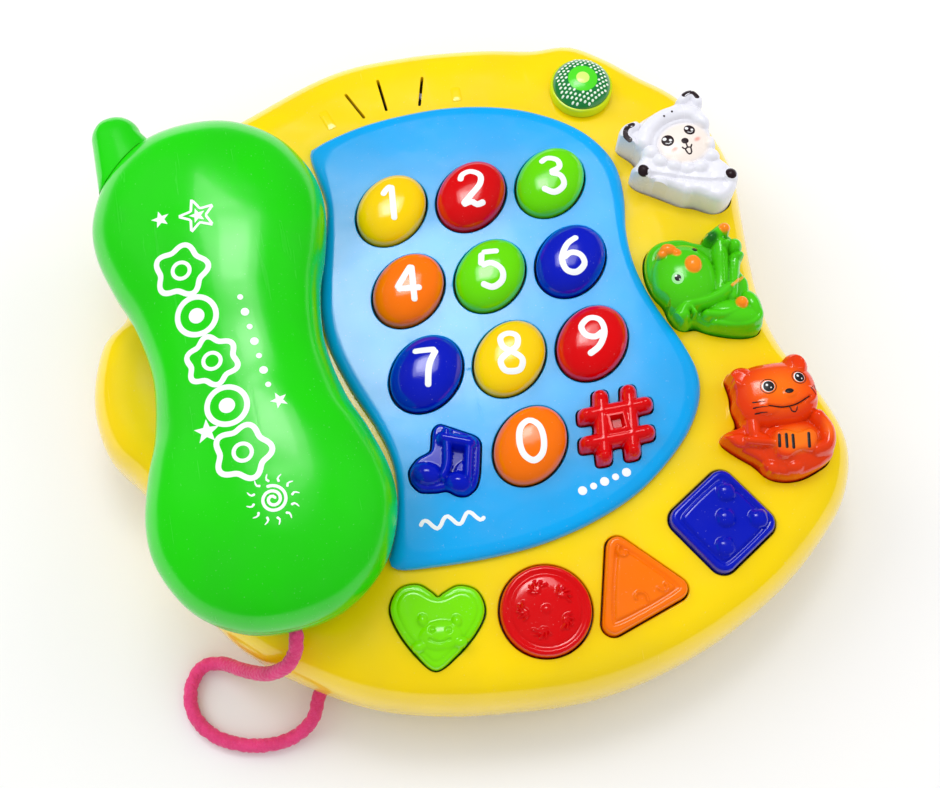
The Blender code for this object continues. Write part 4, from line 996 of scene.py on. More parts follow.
def make_panel():
    finish = plastic("panel_abs", SKY, 0.16, 0.35, False, 0.25, 0.86)
    stages = [(1.4, 31.0), (1.4, 35.2), (0.0, 35.35), (0.0, 36.2), (0.18, 36.9), (0.55, 37.45), (1.1, 37.9),
              (1.8, 38.2), (2.7, 38.36), (3.6, PANEL_FACE_Z)]
    made = loft("keypad_face", [ring(eased_inset(panel_outline, a) if a > 0 else panel_outline, z)
                                for a, z in stages], finish)
    under = [(2.9, 30.0), (2.9, PANEL_FACE_Z - 2.2)]
    boolean(made, [loft("panel_hollow", [ring(eased_inset(panel_outline, a), z) for a, z in under])])
    tools = [flared_cutter(f"key_{label}_hole", egg(key_place(label), KEY_LENGTH + 1.0, KEY_WIDTH + 1.0), 33,
                           PANEL_FACE_Z, 0.35) for label in KEY_COLOURS]
    tools.append(flared_cutter("note_hole", offset(note_outline, -0.5), 33, PANEL_FACE_Z, 0.12))
    tools.append(flared_cutter("hash_hole", offset(hash_loop, -0.5), 33, PANEL_FACE_Z, 0.12))
    boolean(made, tools)
    finish_cut(made, finish)
    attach(made, "base")
    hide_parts("keypad_panel")
    return made


# Strokes of each digit in a box one unit high: "curve" is smooth, "line" has straight runs.
DIGITS = {
    "1": [("curve", [(-0.2, 0.2), (-0.1, 0.36), (0.05, 0.5)]), ("line", [(0.05, 0.5), (0.05, -0.5)])],
    "2": [("curve", [(-0.27, 0.22), (-0.2, 0.42), (0.02, 0.5), (0.25, 0.36), (0.22, 0.1), (-0.02, -0.18),
                     (-0.28, -0.45)]), ("curve", [(-0.28, -0.45), (-0.05, -0.38),
                                                  (0.1, -0.46), (0.31, -0.38)])],
    "3": [("curve", [(-0.25, 0.36), (-0.05, 0.49), (0.2, 0.4), (0.22, 0.18), (-0.04, 0.05)]),
          ("curve", [(-0.04, 0.05), (0.23, -0.06), (0.28, -0.32), (0.02, -0.5), (-0.29, -0.36)])],
    "4": [("line", [(0.12, -0.5), (0.12, 0.5), (-0.3, -0.14), (0.33, -0.14)])],
    "5": [("line", [(0.26, 0.47), (-0.18, 0.47), (-0.23, 0.08)]),
          ("curve", [(-0.23, 0.08), (0.03, 0.14), (0.27, -0.06), (0.25, -0.34), (0.0, -0.5),
                     (-0.28, -0.38)])],
    "6": [("curve", [(0.2, 0.47), (-0.1, 0.26), (-0.27, -0.1), (-0.2, -0.42), (0.05, -0.5), (0.27, -0.3),
                     (0.2, -0.06), (-0.03, 0.02), (-0.25, -0.12)])],
    "7": [("line", [(-0.29, 0.46), (0.29, 0.46)]), ("curve", [(0.29, 0.46), (0.08, 0.05), (0.0, -0.5)])],
    "8": [("loop", [(0.0, 0.5), (-0.2, 0.4), (-0.17, 0.14), (0.03, 0.0), (0.26, -0.2),
                    (0.2, -0.44), (0.0, -0.5),
                    (-0.2, -0.44), (-0.26, -0.2), (-0.03, 0.0), (0.17, 0.14), (0.2, 0.4)])],
    "0": [("loop", [(0.0, 0.5), (-0.22, 0.34), (-0.29, 0.0), (-0.22, -0.34), (0.0, -0.5), (0.22, -0.34),
                    (0.29, 0.0), (0.22, 0.34)])],
}
DIGITS["9"] = [(kind, [(-x, -y) for x, y in points]) for kind, points in DIGITS["6"]]
DIGIT_HEIGHT, DIGIT_STROKE, DIGIT_LEAN = 12.0, 1.8, math.radians(-6)


def draw_digit(prints, label, centre, height):
    for kind, points in DIGITS[label]:
        places = turned(np.array(points) * height, DIGIT_LEAN, centre)
        if kind == "loop":
            prints.line(smooth_loop(places, 90), DIGIT_STROKE, True)
        elif kind == "curve":
            prints.line(smooth_path(places, 0.3), DIGIT_STROKE)
        else:
            for start, end in zip(places[:-1], places[1:]):
                prints.line([start, end], DIGIT_STROKE)


def make_egg_key(label):
    centre = key_place(label)
    colour = KEY_COLOURS[label]
    finish = plastic(f"key_{colour}_abs", COLOURS[colour], 0.12, 0.5)
    rings = [ring(egg(centre, KEY_LENGTH - 1.0, KEY_WIDTH - 1.0), 34.6),
             ring(egg(centre, KEY_LENGTH, KEY_WIDTH), 35.0),
             ring(egg(centre, KEY_LENGTH, KEY_WIDTH), 38.9)]
    for part in np.concatenate([[0.992, 0.975, 0.95], np.linspace(0.91, 0.0, 15)[:-1], [0.012]]):
        rise = (1.0 - part**2.7) ** (1 / 1.9)
        rings.append(ring(egg(centre, KEY_LENGTH * part, KEY_WIDTH * part), 39.1 + (KEY_TOP_Z - 39.1) * rise))
    dome = loft(f"key_{label}_dome", rings, finish, f"key_{label}", 60)
    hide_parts(f"key_{label}")
    prints = Prints(surface_below(dome))
    draw_digit(prints, label, centre, DIGIT_HEIGHT)
    prints.make(f"key_{label}_digit", print_ink("white_ink", WHITE_INK), f"key_{label}")


def sculpt(points, distance, edge, features):
    """Heights of a crowned plate with ovals, rolls and slabs on it, sunk where their rise is negative."""
    low, crown, radius = edge
    z = low + crown * swell(distance, radius)
    for kind, place, size, foot, rise in features:
        if kind == "oval":
            shape = mound(points, place, *size)
        elif kind == "roll":
            shape = roll(points, place, size)
        else:
            shape = slab(points, place, size)
        if foot is None:
            z = z + rise * shape
        else:
            z = z + (higher(z, foot + rise * shape, 0.3) - z) * np.clip(shape / 0.3, 0.0, 1.0)
    return z


def make_sculpted(node, outline, foot_z, finish, edge, features, paint=None):
    made = relief(f"{node}_relief", outline, lambda points,
                  distance: sculpt(points, distance, edge, features), foot_z,
                  finish, node, 0.3, paint)
    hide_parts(node)
    return made


def key_plastic(colour):
    return plastic(f"key_{colour}_abs", COLOURS[colour], 0.12, 0.4)


def make_note_key():
    features = [
        ("slab", rounded_loop(np.array(NOTE_WINDOW), 8, 90), 0.6, None, -1.5),
        ("roll", [(-8.9, -28.9), (-10.6, -38.0), (-12.6, -41.8)], 1.5, 39.0, 3.4),
        ("roll", [(-3.0, -32.6), (-5.8, -43.6)], 1.5, 39.0, 3.4),
        ("roll", [(-10.2, -30.6), (-3.0, -33.6)], 2.1, 39.0, 3.6),
        ("oval", (-16.8, -40.0), (4.6, 3.5, -0.4), 39.0, 3.6),
        ("oval", (-8.6, -44.2), (4.2, 3.4, -0.4), 39.0, 3.6),
    ]
    make_sculpted("key_note", note_outline, 34.6, key_plastic("blue"), (38.8, 1.2, 0.9), features)


def make_hash_key():
    bars = []
    for side in (-1, 1):
        across = np.array([(-HASH_REACH + 2.4, side * HASH_OFFSET), (HASH_REACH - 2.4, side * HASH_OFFSET)])
        for bar in (across, across[:, ::-1].copy()):
            bar[:, 0] += bar[:, 1] * HASH_SLANT
            bars.append(bar + np.array(HASH_CENTRE))
    features = [("roll", bar, 2.6, 38.8, 3.8) for bar in bars]
    features += [("oval", end, (2.5,), 38.8, 4.2) for bar in bars for end in bar]
    features += [("slab", rectangle(HASH_CENTRE, (7.0, 7.0)), 1.0, 41.4, 1.4),
                 ("slab", rounded_loop(rectangle(HASH_CENTRE, (3.8, 3.8)), 3, 60), 0.5, None, -2.6)]
    make_sculpted("key_hash", hash_loop, 34.6, key_plastic("red"), (38.8, 1.6, 1.1), features)


panel = make_panel()
for key_label in KEY_COLOURS:
    make_egg_key(key_label)
make_note_key()
make_hash_key()


# ---- Shape buttons ------------------------------------------------------------------------------
def make_shape_buttons():
    def at_heart(*places):
        return [tuple(place) for place in turned(np.array(places, dtype=float), HEART_TURN, HEART_CENTRE)]

    def inside(name, amount):
        return eased_inset(shapes[name], amount)

    heart = [("slab", inside("heart", 1.7), 1.2, None, 0.5)]
    heart += [("oval", at_heart((1.0, -2.8))[0], (6.4, 4.4, HEART_TURN + 0.18), 37.0, 1.9)]
    heart += [("oval", at_heart((x, 1.2))[0], (1.6, 2.0), 37.0, 1.6) for x in (-4.0, 5.4)]
    heart += [("oval", at_heart(place)[0], (2.2, 1.6), 37.0, 1.6) for place in ((-4.6, -6.0), (6.6, -4.4))]
    heart += [("oval", at_heart((x, -1.4))[0], (1.0,), None, -0.6) for x in (-1.4, 3.2)]
    heart += [("oval", at_heart((x, -1.4))[0], (0.5,), None, 0.5) for x in (-1.4, 3.2)]
    heart += [("roll", at_heart((-2.0, -4.0), (0.8, -4.8), (3.6, -3.8)), 0.45, None, -0.5)]

    rings = [("oval", CIRCLE_CENTRE, (radius,), None, rise * 1.0) for radius,
             rise in ((11.2, -1.0), (9.9, 1.4))]
    for turn in range(5):
        angle = 2 * math.pi * turn / 5 + 0.5
        middle = np.array(CIRCLE_CENTRE) + 5.4 * np.array([math.cos(angle), math.sin(angle)])
        for petal in range(5):
            lean = angle + (petal - 2) * 0.6
            bow = middle + 1.3 * np.array([math.cos(lean + 0.5), math.sin(lean + 0.5)])
            tip = middle + 2.7 * np.array([math.cos(lean), math.sin(lean)])
            rings.append(("roll", [middle, bow, tip], 0.5, 36.6, 1.5))
    rings.append(("oval", CIRCLE_CENTRE, (1.9,), 36.9, 1.3))

    triangle = [("slab", inside("triangle", 1.6), 0.7, None, -0.4),
                ("slab", inside("triangle", 2.6), 0.7, None, 0.7)]
    for middle, reach, start in (((33.2, -72.6), 2.3, 2.2), ((33.6, -86.2), 2.7, -0.4),
                                 ((41.6, -84.0), 2.0, 3.4)):
        curl = [(middle[0] + reach * (1 - t / 4.6) * math.cos(start + t),
                 middle[1] + reach * (1 - t / 4.6) * math.sin(start + t)) for t in np.linspace(0, 3.6, 12)]
        triangle.append(("roll", curl, 0.55, 36.9, 1.4))

    square = [("slab", inside("square", 1.5), 0.7, None, -0.4),
              ("slab", inside("square", 2.4), 1.0, None, 0.8)]
    square += [("oval", place, (3.0, 3.0, 0.0, 2.6), 36.6, 2.6)
               for place in ((65.8, -61.7), (63.7, -69.0), (72.7, -70.9), (61.3, -76.9))]
    table = {"heart": (heart, "lime", (35.8, 1.3, 1.3)), "circle": (rings, "red", (35.8, 1.5, 1.2)),
             "triangle": (triangle, "orange", (35.8, 1.6, 1.1)), "square": (square, "blue", (35.8, 1.6, 1.3))}
    for name, (features, colour, edge) in table.items():
        make_sculpted(f"button_{name}", shapes[name], 30.5, key_plastic(colour),
                      edge, features)


make_shape_buttons()


# ---- Animal buttons -----------------------------------------------------------------------------
def painter(ground, spots):
    """Colours for a relief: a ground colour with soft-edged ovals laid over it."""
    def paint(points):
        colours = np.tile(ground, (len(points), 1))
        for centre, rx, ry, angle, softness, colour in spots:
            local = turned(points - np.array(centre), -angle)
            share = np.clip((1.0 - np.hypot(local[:, 0] / rx, local[:, 1] / ry)) / softness,
                            0.0, 1.0)[:, None]
            colours = colours * (1 - share) + np.array(colour) * share
        return colours
    return paint


def draw(prints, lines, width, step=0.25):
    for path in lines:
        prints.line(smooth_path(path, step) if len(path) > 2 else path, width)


def make_lamb():
    face = ((81.8, 47.6), (9.0, 7.6, math.radians(12)))
    paws = ((66.8, 40.4), (93.0, 34.2))
    ears = ([(68.0, 56.6), (65.4, 55.6), (64.3, 53.2), (65.6, 50.8)],
            [(85.2, 63.2), (87.0, 64.2), (88.9, 64.0), (90.0, 61.6)])
    fold = [(68.8, 39.2), (77.0, 36.2), (84.8, 33.6), (91.0, 32.6)]
    features = [("roll", ear, 2.1, 43.2, 2.5) for ear in ears]
    features += [("roll", [(69.5, 50.5), (72.0, 54.5), (76.5, 57.5), (82.0, 58.6),
                           (87.0, 57.6), (89.4, 54.0)], 2.6,
                  43.4, 2.5)]
    features += [("oval", place, (2.9, 2.6), 43.0, 2.7) for place in
                 ((71.0, 46.6), (73.0, 43.2), (89.6, 46.4), (89.0, 42.0), (77.0, 41.0),
                  (84.4, 39.0), (80.6, 39.4))]
    features += [("oval", face[0], face[1], 43.6, 2.0)]
    features += [("oval", paw, (2.7, 2.9), 42.8, 2.7) for paw in paws]
    features += [("oval", (x, y), (3.0, 2.4), 42.0, 2.3) for x,
                 y in ((72.4, 36.8), (79.6, 33.0), (88.2, 29.6))]
    features += [("roll", fold, 0.8, None, -0.8)]

    def height(points, distance):
        z = sculpt(points, distance, (41.8, 2.4, 2.2), features)
        woolly = 1 - np.clip(mound(points, *(face[0], *face[1])) * 3.0, 0, 1)
        return z + 0.5 * fluff(points, 2.3, 4) * woolly * np.clip(distance / 1.6, 0, 1)

    spots = [(*face[:1], 9.0, 7.6, math.radians(12), 0.2, (0.93, 0.84, 0.77))]
    spots += [(centre, 1.5, 0.9, 0.4, 0.7, (0.86, 0.40, 0.34)) for centre in ((78.0, 45.6), (85.9, 47.8))]
    made = relief("button_lamb_relief", figures["lamb"], height, 30.5,
                  plastic("lamb_abs", None, 0.24, 0.2, True),
                  "button_lamb", 0.3, painter((0.84, 0.84, 0.92), spots))
    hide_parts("button_lamb")
    ground = surface_below(made)
    dark, light = Prints(ground), Prints(ground, 0.2)
    draw(dark, ears, 1.5)
    for centre in paws:
        dark.disc(centre, 1.7, 1.9)
    for (x, y), size in (((76.8, 49.1), 1.9), ((84.4, 51.5), 1.75)):
        dark.disc((x, y), size, size * 1.06)
        light.disc((x - 0.42 * size, y + 0.36 * size), 0.34 * size)
        light.disc((x + 0.42 * size, y - 0.08 * size), 0.27 * size)
        light.line(smooth_path([(x - 0.5 * size, y - 0.4 * size), (x, y - 0.64 * size),
                                (x + 0.45 * size, y - 0.5 * size)],
                               0.15), 0.2 * size)
    dark.disc((81.9, 47.8), 1.15, 1.0)
    draw(dark, ([(82.0, 47.0), (82.1, 45.6)], [(80.4, 45.9), (81.2, 45.0), (82.1, 45.5)],
                [(82.1, 45.5), (83.1, 45.3), (83.7, 46.3)],
                [(81.2, 45.0), (81.9, 43.3), (82.9, 43.5), (83.1, 45.2)]), 0.45)
    for centre in ((77.6, 57.2), (80.4, 58.3)):
        dark.disc(centre, 0.34)
    dark.make("lamb_dark_print", print_ink("dark_ink", (0.022, 0.008, 0.012)), "button_lamb")
    light.make("lamb_light_print", print_ink("white_ink", WHITE_INK), "button_lamb")


def make_dragon():
    orange = (1.0, 0.27, 0.01)
    features = [
        ("roll", [(84.4, 13.6), (82.6, 5.0), (80.0, -2.0)], 2.6, 39.4, 3.6),
        ("roll", [(87.6, 8.0), (85.4, 2.0), (83.4, -4.2)], 2.0, 39.4, 3.4),
        ("roll", [(84.0, 9.8), (81.6, 0.2)], 0.5, 42.2, 1.4),
        ("roll", [(86.2, 7.6), (83.4, -3.6)], 0.5, 41.6, 1.5),
        ("roll", [(81.8, 15.4), (86.2, 17.6)], 2.2, 40.0, 4.0),
        ("oval", (88.4, 11.6), (2.3, 2.6, 0.2), 40.0, 4.4),
        ("oval", (88.6, 8.0), (2.0, 1.6, 0.2), 40.0, 4.0),
        ("oval", (85.8, 12.6), (1.8, 1.4, 0.2), 41.0, 3.4),
        ("oval", (82.4, -9.2), (9.0, 5.0, -0.3), 38.6, 4.4),
        ("oval", (88.6, -7.6), (3.0, 5.2, 0.1), 39.0, 3.6),
        ("roll", [(76.2, -11.0), (81.0, -12.6), (86.4, -13.2), (89.8, -11.4), (90.0, -7.6)], 1.5, 38.8, 2.8),
        ("roll", [(74.4, -8.4), (79.0, -9.6), (83.4, -9.0)], 1.7, 40.0, 3.2),
        ("roll", [(66.0, -7.6), (69.2, -4.6), (74.6, -4.4), (79.8, -3.2), (83.0, -1.4)], 2.2, 39.6, 4.4),
        ("oval", (66.9, -7.4), (3.0, 2.5, 0.5), 39.4, 4.6),
        ("roll", [(66.6, -6.4), (69.6, -5.6), (70.6, -7.8)], 0.7, 42.4, 1.3),
        ("oval", (70.9, 4.4), (9.9, 11.6, -0.1, 2.2), 38.6, 7.6),
        ("oval", (67.6, 13.2), (2.6, 1.9, -0.3), 43.8, 1.9),
        ("oval", (65.6, 12.2), (1.7, 1.5, 0.4), 43.4, 1.5),
        ("oval", (69.6, 11.6), (1.5, 1.6, 0.4), 44.0, 1.5),
        ("oval", (73.2, 6.4), (2.6, 3.1, -0.3), 45.4, 2.0),
        ("oval", (85.1, -7.2), (2.1,), 41.6, 2.8),
        ("oval", (86.5, 17.4), (1.9,), 42.2, 2.4),
    ]
    spots = [((67.6, 13.4), 2.9, 2.2, -0.3, 0.2, orange), ((65.6, 12.4), 1.9, 1.7, 0.4, 0.3, orange),
             ((69.6, 11.6), 1.6, 1.7, 0.4, 0.3, orange), ((73.2, 6.4), 2.75, 3.2, -0.3, 0.12, orange),
             ((85.1, -7.2), 2.1, 2.1, 0, 0.15, orange), ((86.5, 17.5), 2.0, 1.9, 0, 0.15, orange),
             # painted shade: the soft dark green oval darkens the notch in the dragon's top edge where the
             # raised bar ends
             ((81.8, 15.2), 2.6, 2.4, 0.4, 0.5, (0.01, 0.16, 0.01))]
    made = make_sculpted("button_dragon", figures["dragon"], 30.5,
                         plastic("dragon_abs", None, 0.14, 0.4, True),
                         (37.4, 2.6, 2.2), features, painter((0.07, 0.62, 0.004), spots))
    ground = surface_below(made)
    Prints(ground, 0.4).line([(83.0, -2.0), (88.8, 2.0)], 0.8).make(
        "dragon_bow", plastic("bow_abs", (0.85, 0.45, 0.02), 0.2), "button_dragon")
    Prints(ground, 0.16).disc((67.5, 2.9), 1.05, 1.2).disc((75.6, 11.9), 0.9, 0.75, 0.5).make(
        "dragon_dark_print", print_ink("black_ink", BLACK_INK), "button_dragon")
    Prints(ground, 0.1).disc((67.5, 2.9), 1.75, 1.9).make(
        "dragon_eye_ring", print_ink("pale_green_ink", (0.35, 0.80, 0.32)), "button_dragon")
    Prints(ground, 0.26).disc((67.1, 3.6), 0.38).disc((67.9, 2.3), 0.22).make(
        "dragon_eye_shine", print_ink("white_ink", WHITE_INK), "button_dragon")


def make_cat():
    guitar = [(82.4, -48.4), (86.0, -47.9), (89.4, -49.4), (93.4, -49.0), (95.0, -52.0),
              (92.4, -56.6), (88.4, -55.8),
              (84.6, -57.0), (81.4, -55.0)]
    stock = [(68.6, -46.4), (73.4, -45.9), (76.2, -48.4), (75.0, -51.0), (71.6, -50.4)]
    features = [
        ("oval", (88.4, -52.6), (11.0, 8.4, -0.1, 2.3), 38.4, 4.6),
        ("oval", (80.4, -57.4), (3.0, 3.4, 0.6), 38.2, 3.4),
        ("oval", (93.6, -57.2), (4.6, 3.0, 0.2), 38.2, 3.4),
        ("oval", (86.4, -58.6), (3.6, 2.6, 0.0), 39.2, 3.2),
        ("roll", [(97.0, -46.0), (98.4, -50.4), (97.0, -54.6), (93.4, -55.6)], 2.6, 39.6, 4.4),
        ("roll", [(78.0, -44.2), (77.6, -48.0), (79.8, -50.0)], 2.4, 39.6, 3.6),
        ("slab", smooth_loop(guitar, 70), 1.4, 40.6, 3.6),
        ("roll", [(75.0, -49.2), (83.0, -51.6)], 1.6, 40.4, 3.4),
        ("slab", smooth_loop(stock, 50), 1.6, 38.6, 3.6),
        ("oval", (78.6, -31.4), (4.2, 4.6, 0.5), 41.0, 4.2),
        ("oval", (94.6, -30.0), (4.0, 4.2, -0.5), 41.0, 4.2),
        ("oval", (77.9, -30.7), (2.0, 2.6, 0.5), None, -1.0),
        ("oval", (95.2, -29.4), (1.9, 2.2, -0.5), None, -1.0),
        ("oval", (86.8, -36.9), (12.6, 9.8, -0.06, 2.7), 40.0, 6.2),
        ("oval", (83.0, -40.6), (4.4, 3.2, 0.0), 44.6, 1.5),
        ("oval", (94.0, -39.6), (4.0, 3.0, 0.0), 44.2, 1.4),
        ("oval", (89.5, -38.8), (2.2, 1.6), 45.6, 1.0),
        ("roll", [(82.6, -41.2), (86.6, -42.3), (90.6, -42.2), (95.2, -40.6)], 0.45, None, -0.7),
    ]
    spots = [((87.4, -36.4), 11, 9, 0, 0.8, (1.0, 0.17, 0.004)),
             ((88.4, -51.6), 8, 5, 0, 0.6, (1.0, 0.20, 0.006)),
             ((98.6, -50.4), 2.4, 5, 0, 0.8, (1.0, 0.14, 0.004))]
    made = make_sculpted("button_cat", figures["cat"], 30.5, plastic("cat_abs", None, 0.14, 0.4, True),
                         (38.0, 3.0, 2.2), features, painter((0.82, 0.045, 0.002), spots))
    ground = surface_below(made)
    dark, light, shine = Prints(ground, 0.16), Prints(ground, 0.1), Prints(ground, 0.26)
    for (x, y), size in (((84.0, -35.6), 1.45), ((93.8, -34.4), 1.35)):
        light.disc((x, y), size * 1.25, size * 1.2)
        dark.disc((x + 0.1, y - 0.05), size * 1.12, size * 1.1)
        dark.line(ellipse((x, y), size * 1.6, size * 1.5, 36), 0.2, True)
        shine.disc((x - 0.35, y + 0.4), 0.42)
        shine.disc((x + 0.6, y - 0.6), 0.26)
    dark.disc((89.5, -38.2), 1.25, 0.8)
    draw(dark, ([(82.6, -41.1), (86.6, -42.2), (90.6, -42.1), (95.2, -40.5)],
                [(88.6, -42.3), (88.9, -43.8), (90.2, -44.1), (90.9, -42.4)]), 0.28)
    for start, end in (((78.4, -39.2), (81.9, -39.9)), ((78.2, -40.8), (82.1, -41.5)),
                       ((78.4, -42.4), (81.8, -43.0)),
                       ((96.4, -38.0), (97.2, -40.4)), ((97.3, -37.4), (98.0, -39.7)),
                       ((98.1, -36.9), (98.6, -38.9))):
        dark.line([start, end], 0.36, taper=True)
    for start, end in (((83.6, -49.5), (82.6, -53.5)), ((85.6, -49.7), (84.6, -54.1)),
                       ((87.4, -50.3), (86.4, -54.7)),
                       ((92.0, -50.7), (90.9, -55.3))):
        dark.line([start, end], 0.8)
    dark.make("cat_dark_print", print_ink("black_ink", BLACK_INK), "button_cat")
    light.make("cat_eye_ground", print_ink("white_ink", WHITE_INK), "button_cat")
    shine.make("cat_eye_shine", print_ink("white_ink", WHITE_INK), "button_cat")


make_lamb()
make_dragon()
make_cat()


# ---- Marks printed on the panel -----------------------------------------------------------------
def mark_panel():
    prints = Prints(surface_below(panel), 0.1)
    wave = [(-21.6 + step * 1.15, -54.3 + 1.5 * math.sin(step * 1.15)) for step in range(17)]
    prints.line(smooth_path(wave, 0.3), 1.1)
    for number, radius in enumerate((1.3, 1.0, 1.3, 1.0, 1.3)):
        prints.disc((25.6 + number * 3.4, -53.2 + number * 0.7), radius)
    prints.make("panel_marks", print_ink("white_ink", WHITE_INK), "base")


mark_panel()


# ---- Light --------------------------------------------------------------------------------------
def make_lens():
    """A faceted dome with a painted glow for its bright core and a ring of pale dots painted as glints, in a
    yellow-green rim.
    """
    centre = np.array(LENS_CENTRE)
    facets, levels = 24, 7
    vertices, faces = [], []
    for level in range(levels + 1):
        part = level / (levels + 0.6)
        angle = part * math.pi / 2
        radius, z = 9.3 * math.cos(angle), 38.4 + 4.5 * math.sin(angle)
        for index in range(facets):
            turn = 2 * math.pi * (index + 0.5 * (level % 2)) / facets
            vertices.append((centre[0] + radius * math.cos(turn), centre[1] + radius * math.sin(turn), z))
    for level in range(levels):
        low, high = level * facets, (level + 1) * facets
        for index in range(facets):
            after = (index + 1) % facets
            if level % 2:
                faces += [(low + index, low + after, high + after), (low + index, high + after, high + index)]
            else:
                faces += [(low + index, low + after, high + index), (low + after, high + after, high + index)]
    top = levels * facets
    faces.append(tuple(range(top, top + facets)))
    inside = len(vertices)
    for vertex in list(vertices):
        out = np.array(vertex) - np.array([*centre, 30.0])
        vertices.append(tuple(np.array(vertex) - out / np.linalg.norm(out) * 1.1))
    faces += [tuple(index + inside for index in face[::-1]) for face in faces]
    for index in range(facets):
        after = (index + 1) % facets
        faces.append((after, index, inside + index, inside + after))
    dome = add_mesh("lens_dome", vertices, faces,
                    plastic("lens_dark_green", (0.015, 0.22, 0.05), 0.12, 0.6), "base",
                    12.0)
    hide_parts("light_lens")
    ground = surface_below(dome)
    # painted glow: a bright green disc and a pale yellow-green core stand in for light shining through the
    # lens
    for name, lift, radius, colour in (("lens_bright_disc", 0.10, 4.7, (0.08, 0.74, 0.02)),
                                       ("lens_core", 0.20, 2.2, (0.70, 0.92, 0.20))):
        Prints(ground, lift).disc(centre,
                                  radius).make(name, plastic(name, colour, 0.16), "base", "lens_green")
    # painted glints: a ring of pale dots stands in for light glinting on the lens's moulded facets
    dots = Prints(ground, 0.16)
    for row in range(-7, 8):
        for column in range(-7, 8):
            place = turned(np.array([[(column + 0.5 * (row % 2)) * 1.45, row * 1.2]]), -0.5)[0]
            if 5.0 < np.linalg.norm(place) < 8.5:
                dots.disc(centre + place, 0.46, 0.36, 0.4, count=10)
    dots.make("lens_painted_glints", print_ink("lens_dots", (0.86, 0.97, 0.84)), "base", "lens_green")
    rim = [(9.95, 35.2), (9.95, 38.1), (9.7, 38.6), (9.3, 38.75), (8.7, 38.6), (8.5, 38.0), (8.5, 35.2)]
    count = 72
    rings = [ring(ellipse(LENS_CENTRE, r, r, count), z) for r, z in rim]
    band = add_mesh("lens_rim", np.vstack(rings), loft_faces(count, len(rings), 0, False, False)
                    + [(i, (i + 1) % count, (len(rim) - 1) * count + (i + 1) % count,
                        (len(rim) - 1) * count + i)[::-1]
                       for i in range(count)],
                    plastic("lens_rim_abs", (0.62, 0.80, 0.01), 0.14), "base")
    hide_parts("light_lens")


make_lens()


# ---- Handset ------------------------------------------------------------------------------------
HANDSET_QUARTER = [(0, 78), (14, 75.6), (26, 67), (32.8, 54), (33.9, 42), (31, 29), (26.8, 16.5), (24.6, 0)]
HANDSET_SPLIT_Z = 50.0
CUP_FOOT_Z = 27.3
HANDSET_SCREW_ALONG = 14.0
HANDSET_POINTS = 240
SPINE_SHARE = 0.66


def handset_outline():
    """The handset's widest outline, across and along it."""
    right = HANDSET_QUARTER + [(across, -along) for across, along in HANDSET_QUARTER[-2::-1]]
    left = [(-across, along) for across, along in right[-2:0:-1]]
    return smooth_loop((right + left)[::-1], HANDSET_POINTS)


handset_loop = handset_outline()
spine = np.column_stack([np.zeros(HANDSET_POINTS), handset_loop[:, 1] * SPINE_SHARE])


def handset_ring(share, z):
    """The outline drawn in towards the handset's long axis."""
    flat = spine + (handset_loop - spine) * share
    return np.column_stack([turned(flat, HANDSET_TURN, HANDSET_CENTRE), np.broadcast_to(z, HANDSET_POINTS)])


def handset_top_z(share, grow=0.0):
    """Height of the upper skin, a little lower over the waist."""
    waist = np.exp(-(spine[:, 1] / 17.0) ** 2)
    rise = (1.0 - share**2.35) ** (1 / 1.95)
    return HANDSET_SPLIT_Z + 0.15 + (16.6 - 1.7 * waist + grow) * rise


def make_handset_top():
    finish = plastic("handset_abs", HANDSET_GREEN, 0.2, 0.25)
    shares = np.concatenate([[1.0, 0.9995, 0.997, 0.992, 0.985, 0.975, 0.96], np.linspace(0.94, 0.0, 34)])
    rings = [handset_ring(0.996, HANDSET_SPLIT_Z + 0.15), handset_ring(1.0, HANDSET_SPLIT_Z + 0.4)]
    rings += [handset_ring(share, handset_top_z(share)) for share in shares[1:-1]]
    made = loft("handset_top", rings, finish)
    fill_spine(made)
    hollow = [handset_ring(0.93, HANDSET_SPLIT_Z - 2)]
    hollow += [handset_ring(0.93 * share, handset_top_z(share, -2.3))
               for share in (1.0, 0.97, 0.9, 0.8, 0.65, 0.5, 0.35)]
    boolean(made, [loft("handset_top_hollow", hollow)])
    finish_cut(made, finish, 42)
    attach(made, "handset")
    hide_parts("handset_top_shell")
    return made


def fill_spine(made):
    """Turns the long flat cap at the spine into strips that bend with the surface."""
    work = bmesh.new()
    work.from_mesh(made.data)
    work.faces.ensure_lookup_table()
    cap = max((face for face in work.faces if len(face.verts) > 8),
              key=lambda face: face.calc_center_median().z)
    vertices = list(cap.verts)
    count = len(vertices)
    tip = max(range(count), key=lambda index: vertices[index].co.y)
    ordered = [vertices[(tip + step) % count] for step in range(count)]
    bmesh.ops.delete(work, geom=[cap], context="FACES_ONLY")
    low, high = 0, count - 1
    work.faces.new((ordered[high], ordered[low], ordered[low + 1]))
    low += 1
    while high - low > 2:
        work.faces.new((ordered[high], ordered[low], ordered[low + 1], ordered[high - 1]))
        low, high = low + 1, high - 1
    if high - low == 2:
        work.faces.new((ordered[high], ordered[low], ordered[low + 1]))
    bmesh.ops.recalc_face_normals(work, faces=work.faces)
    work.to_mesh(made.data)
    work.free()


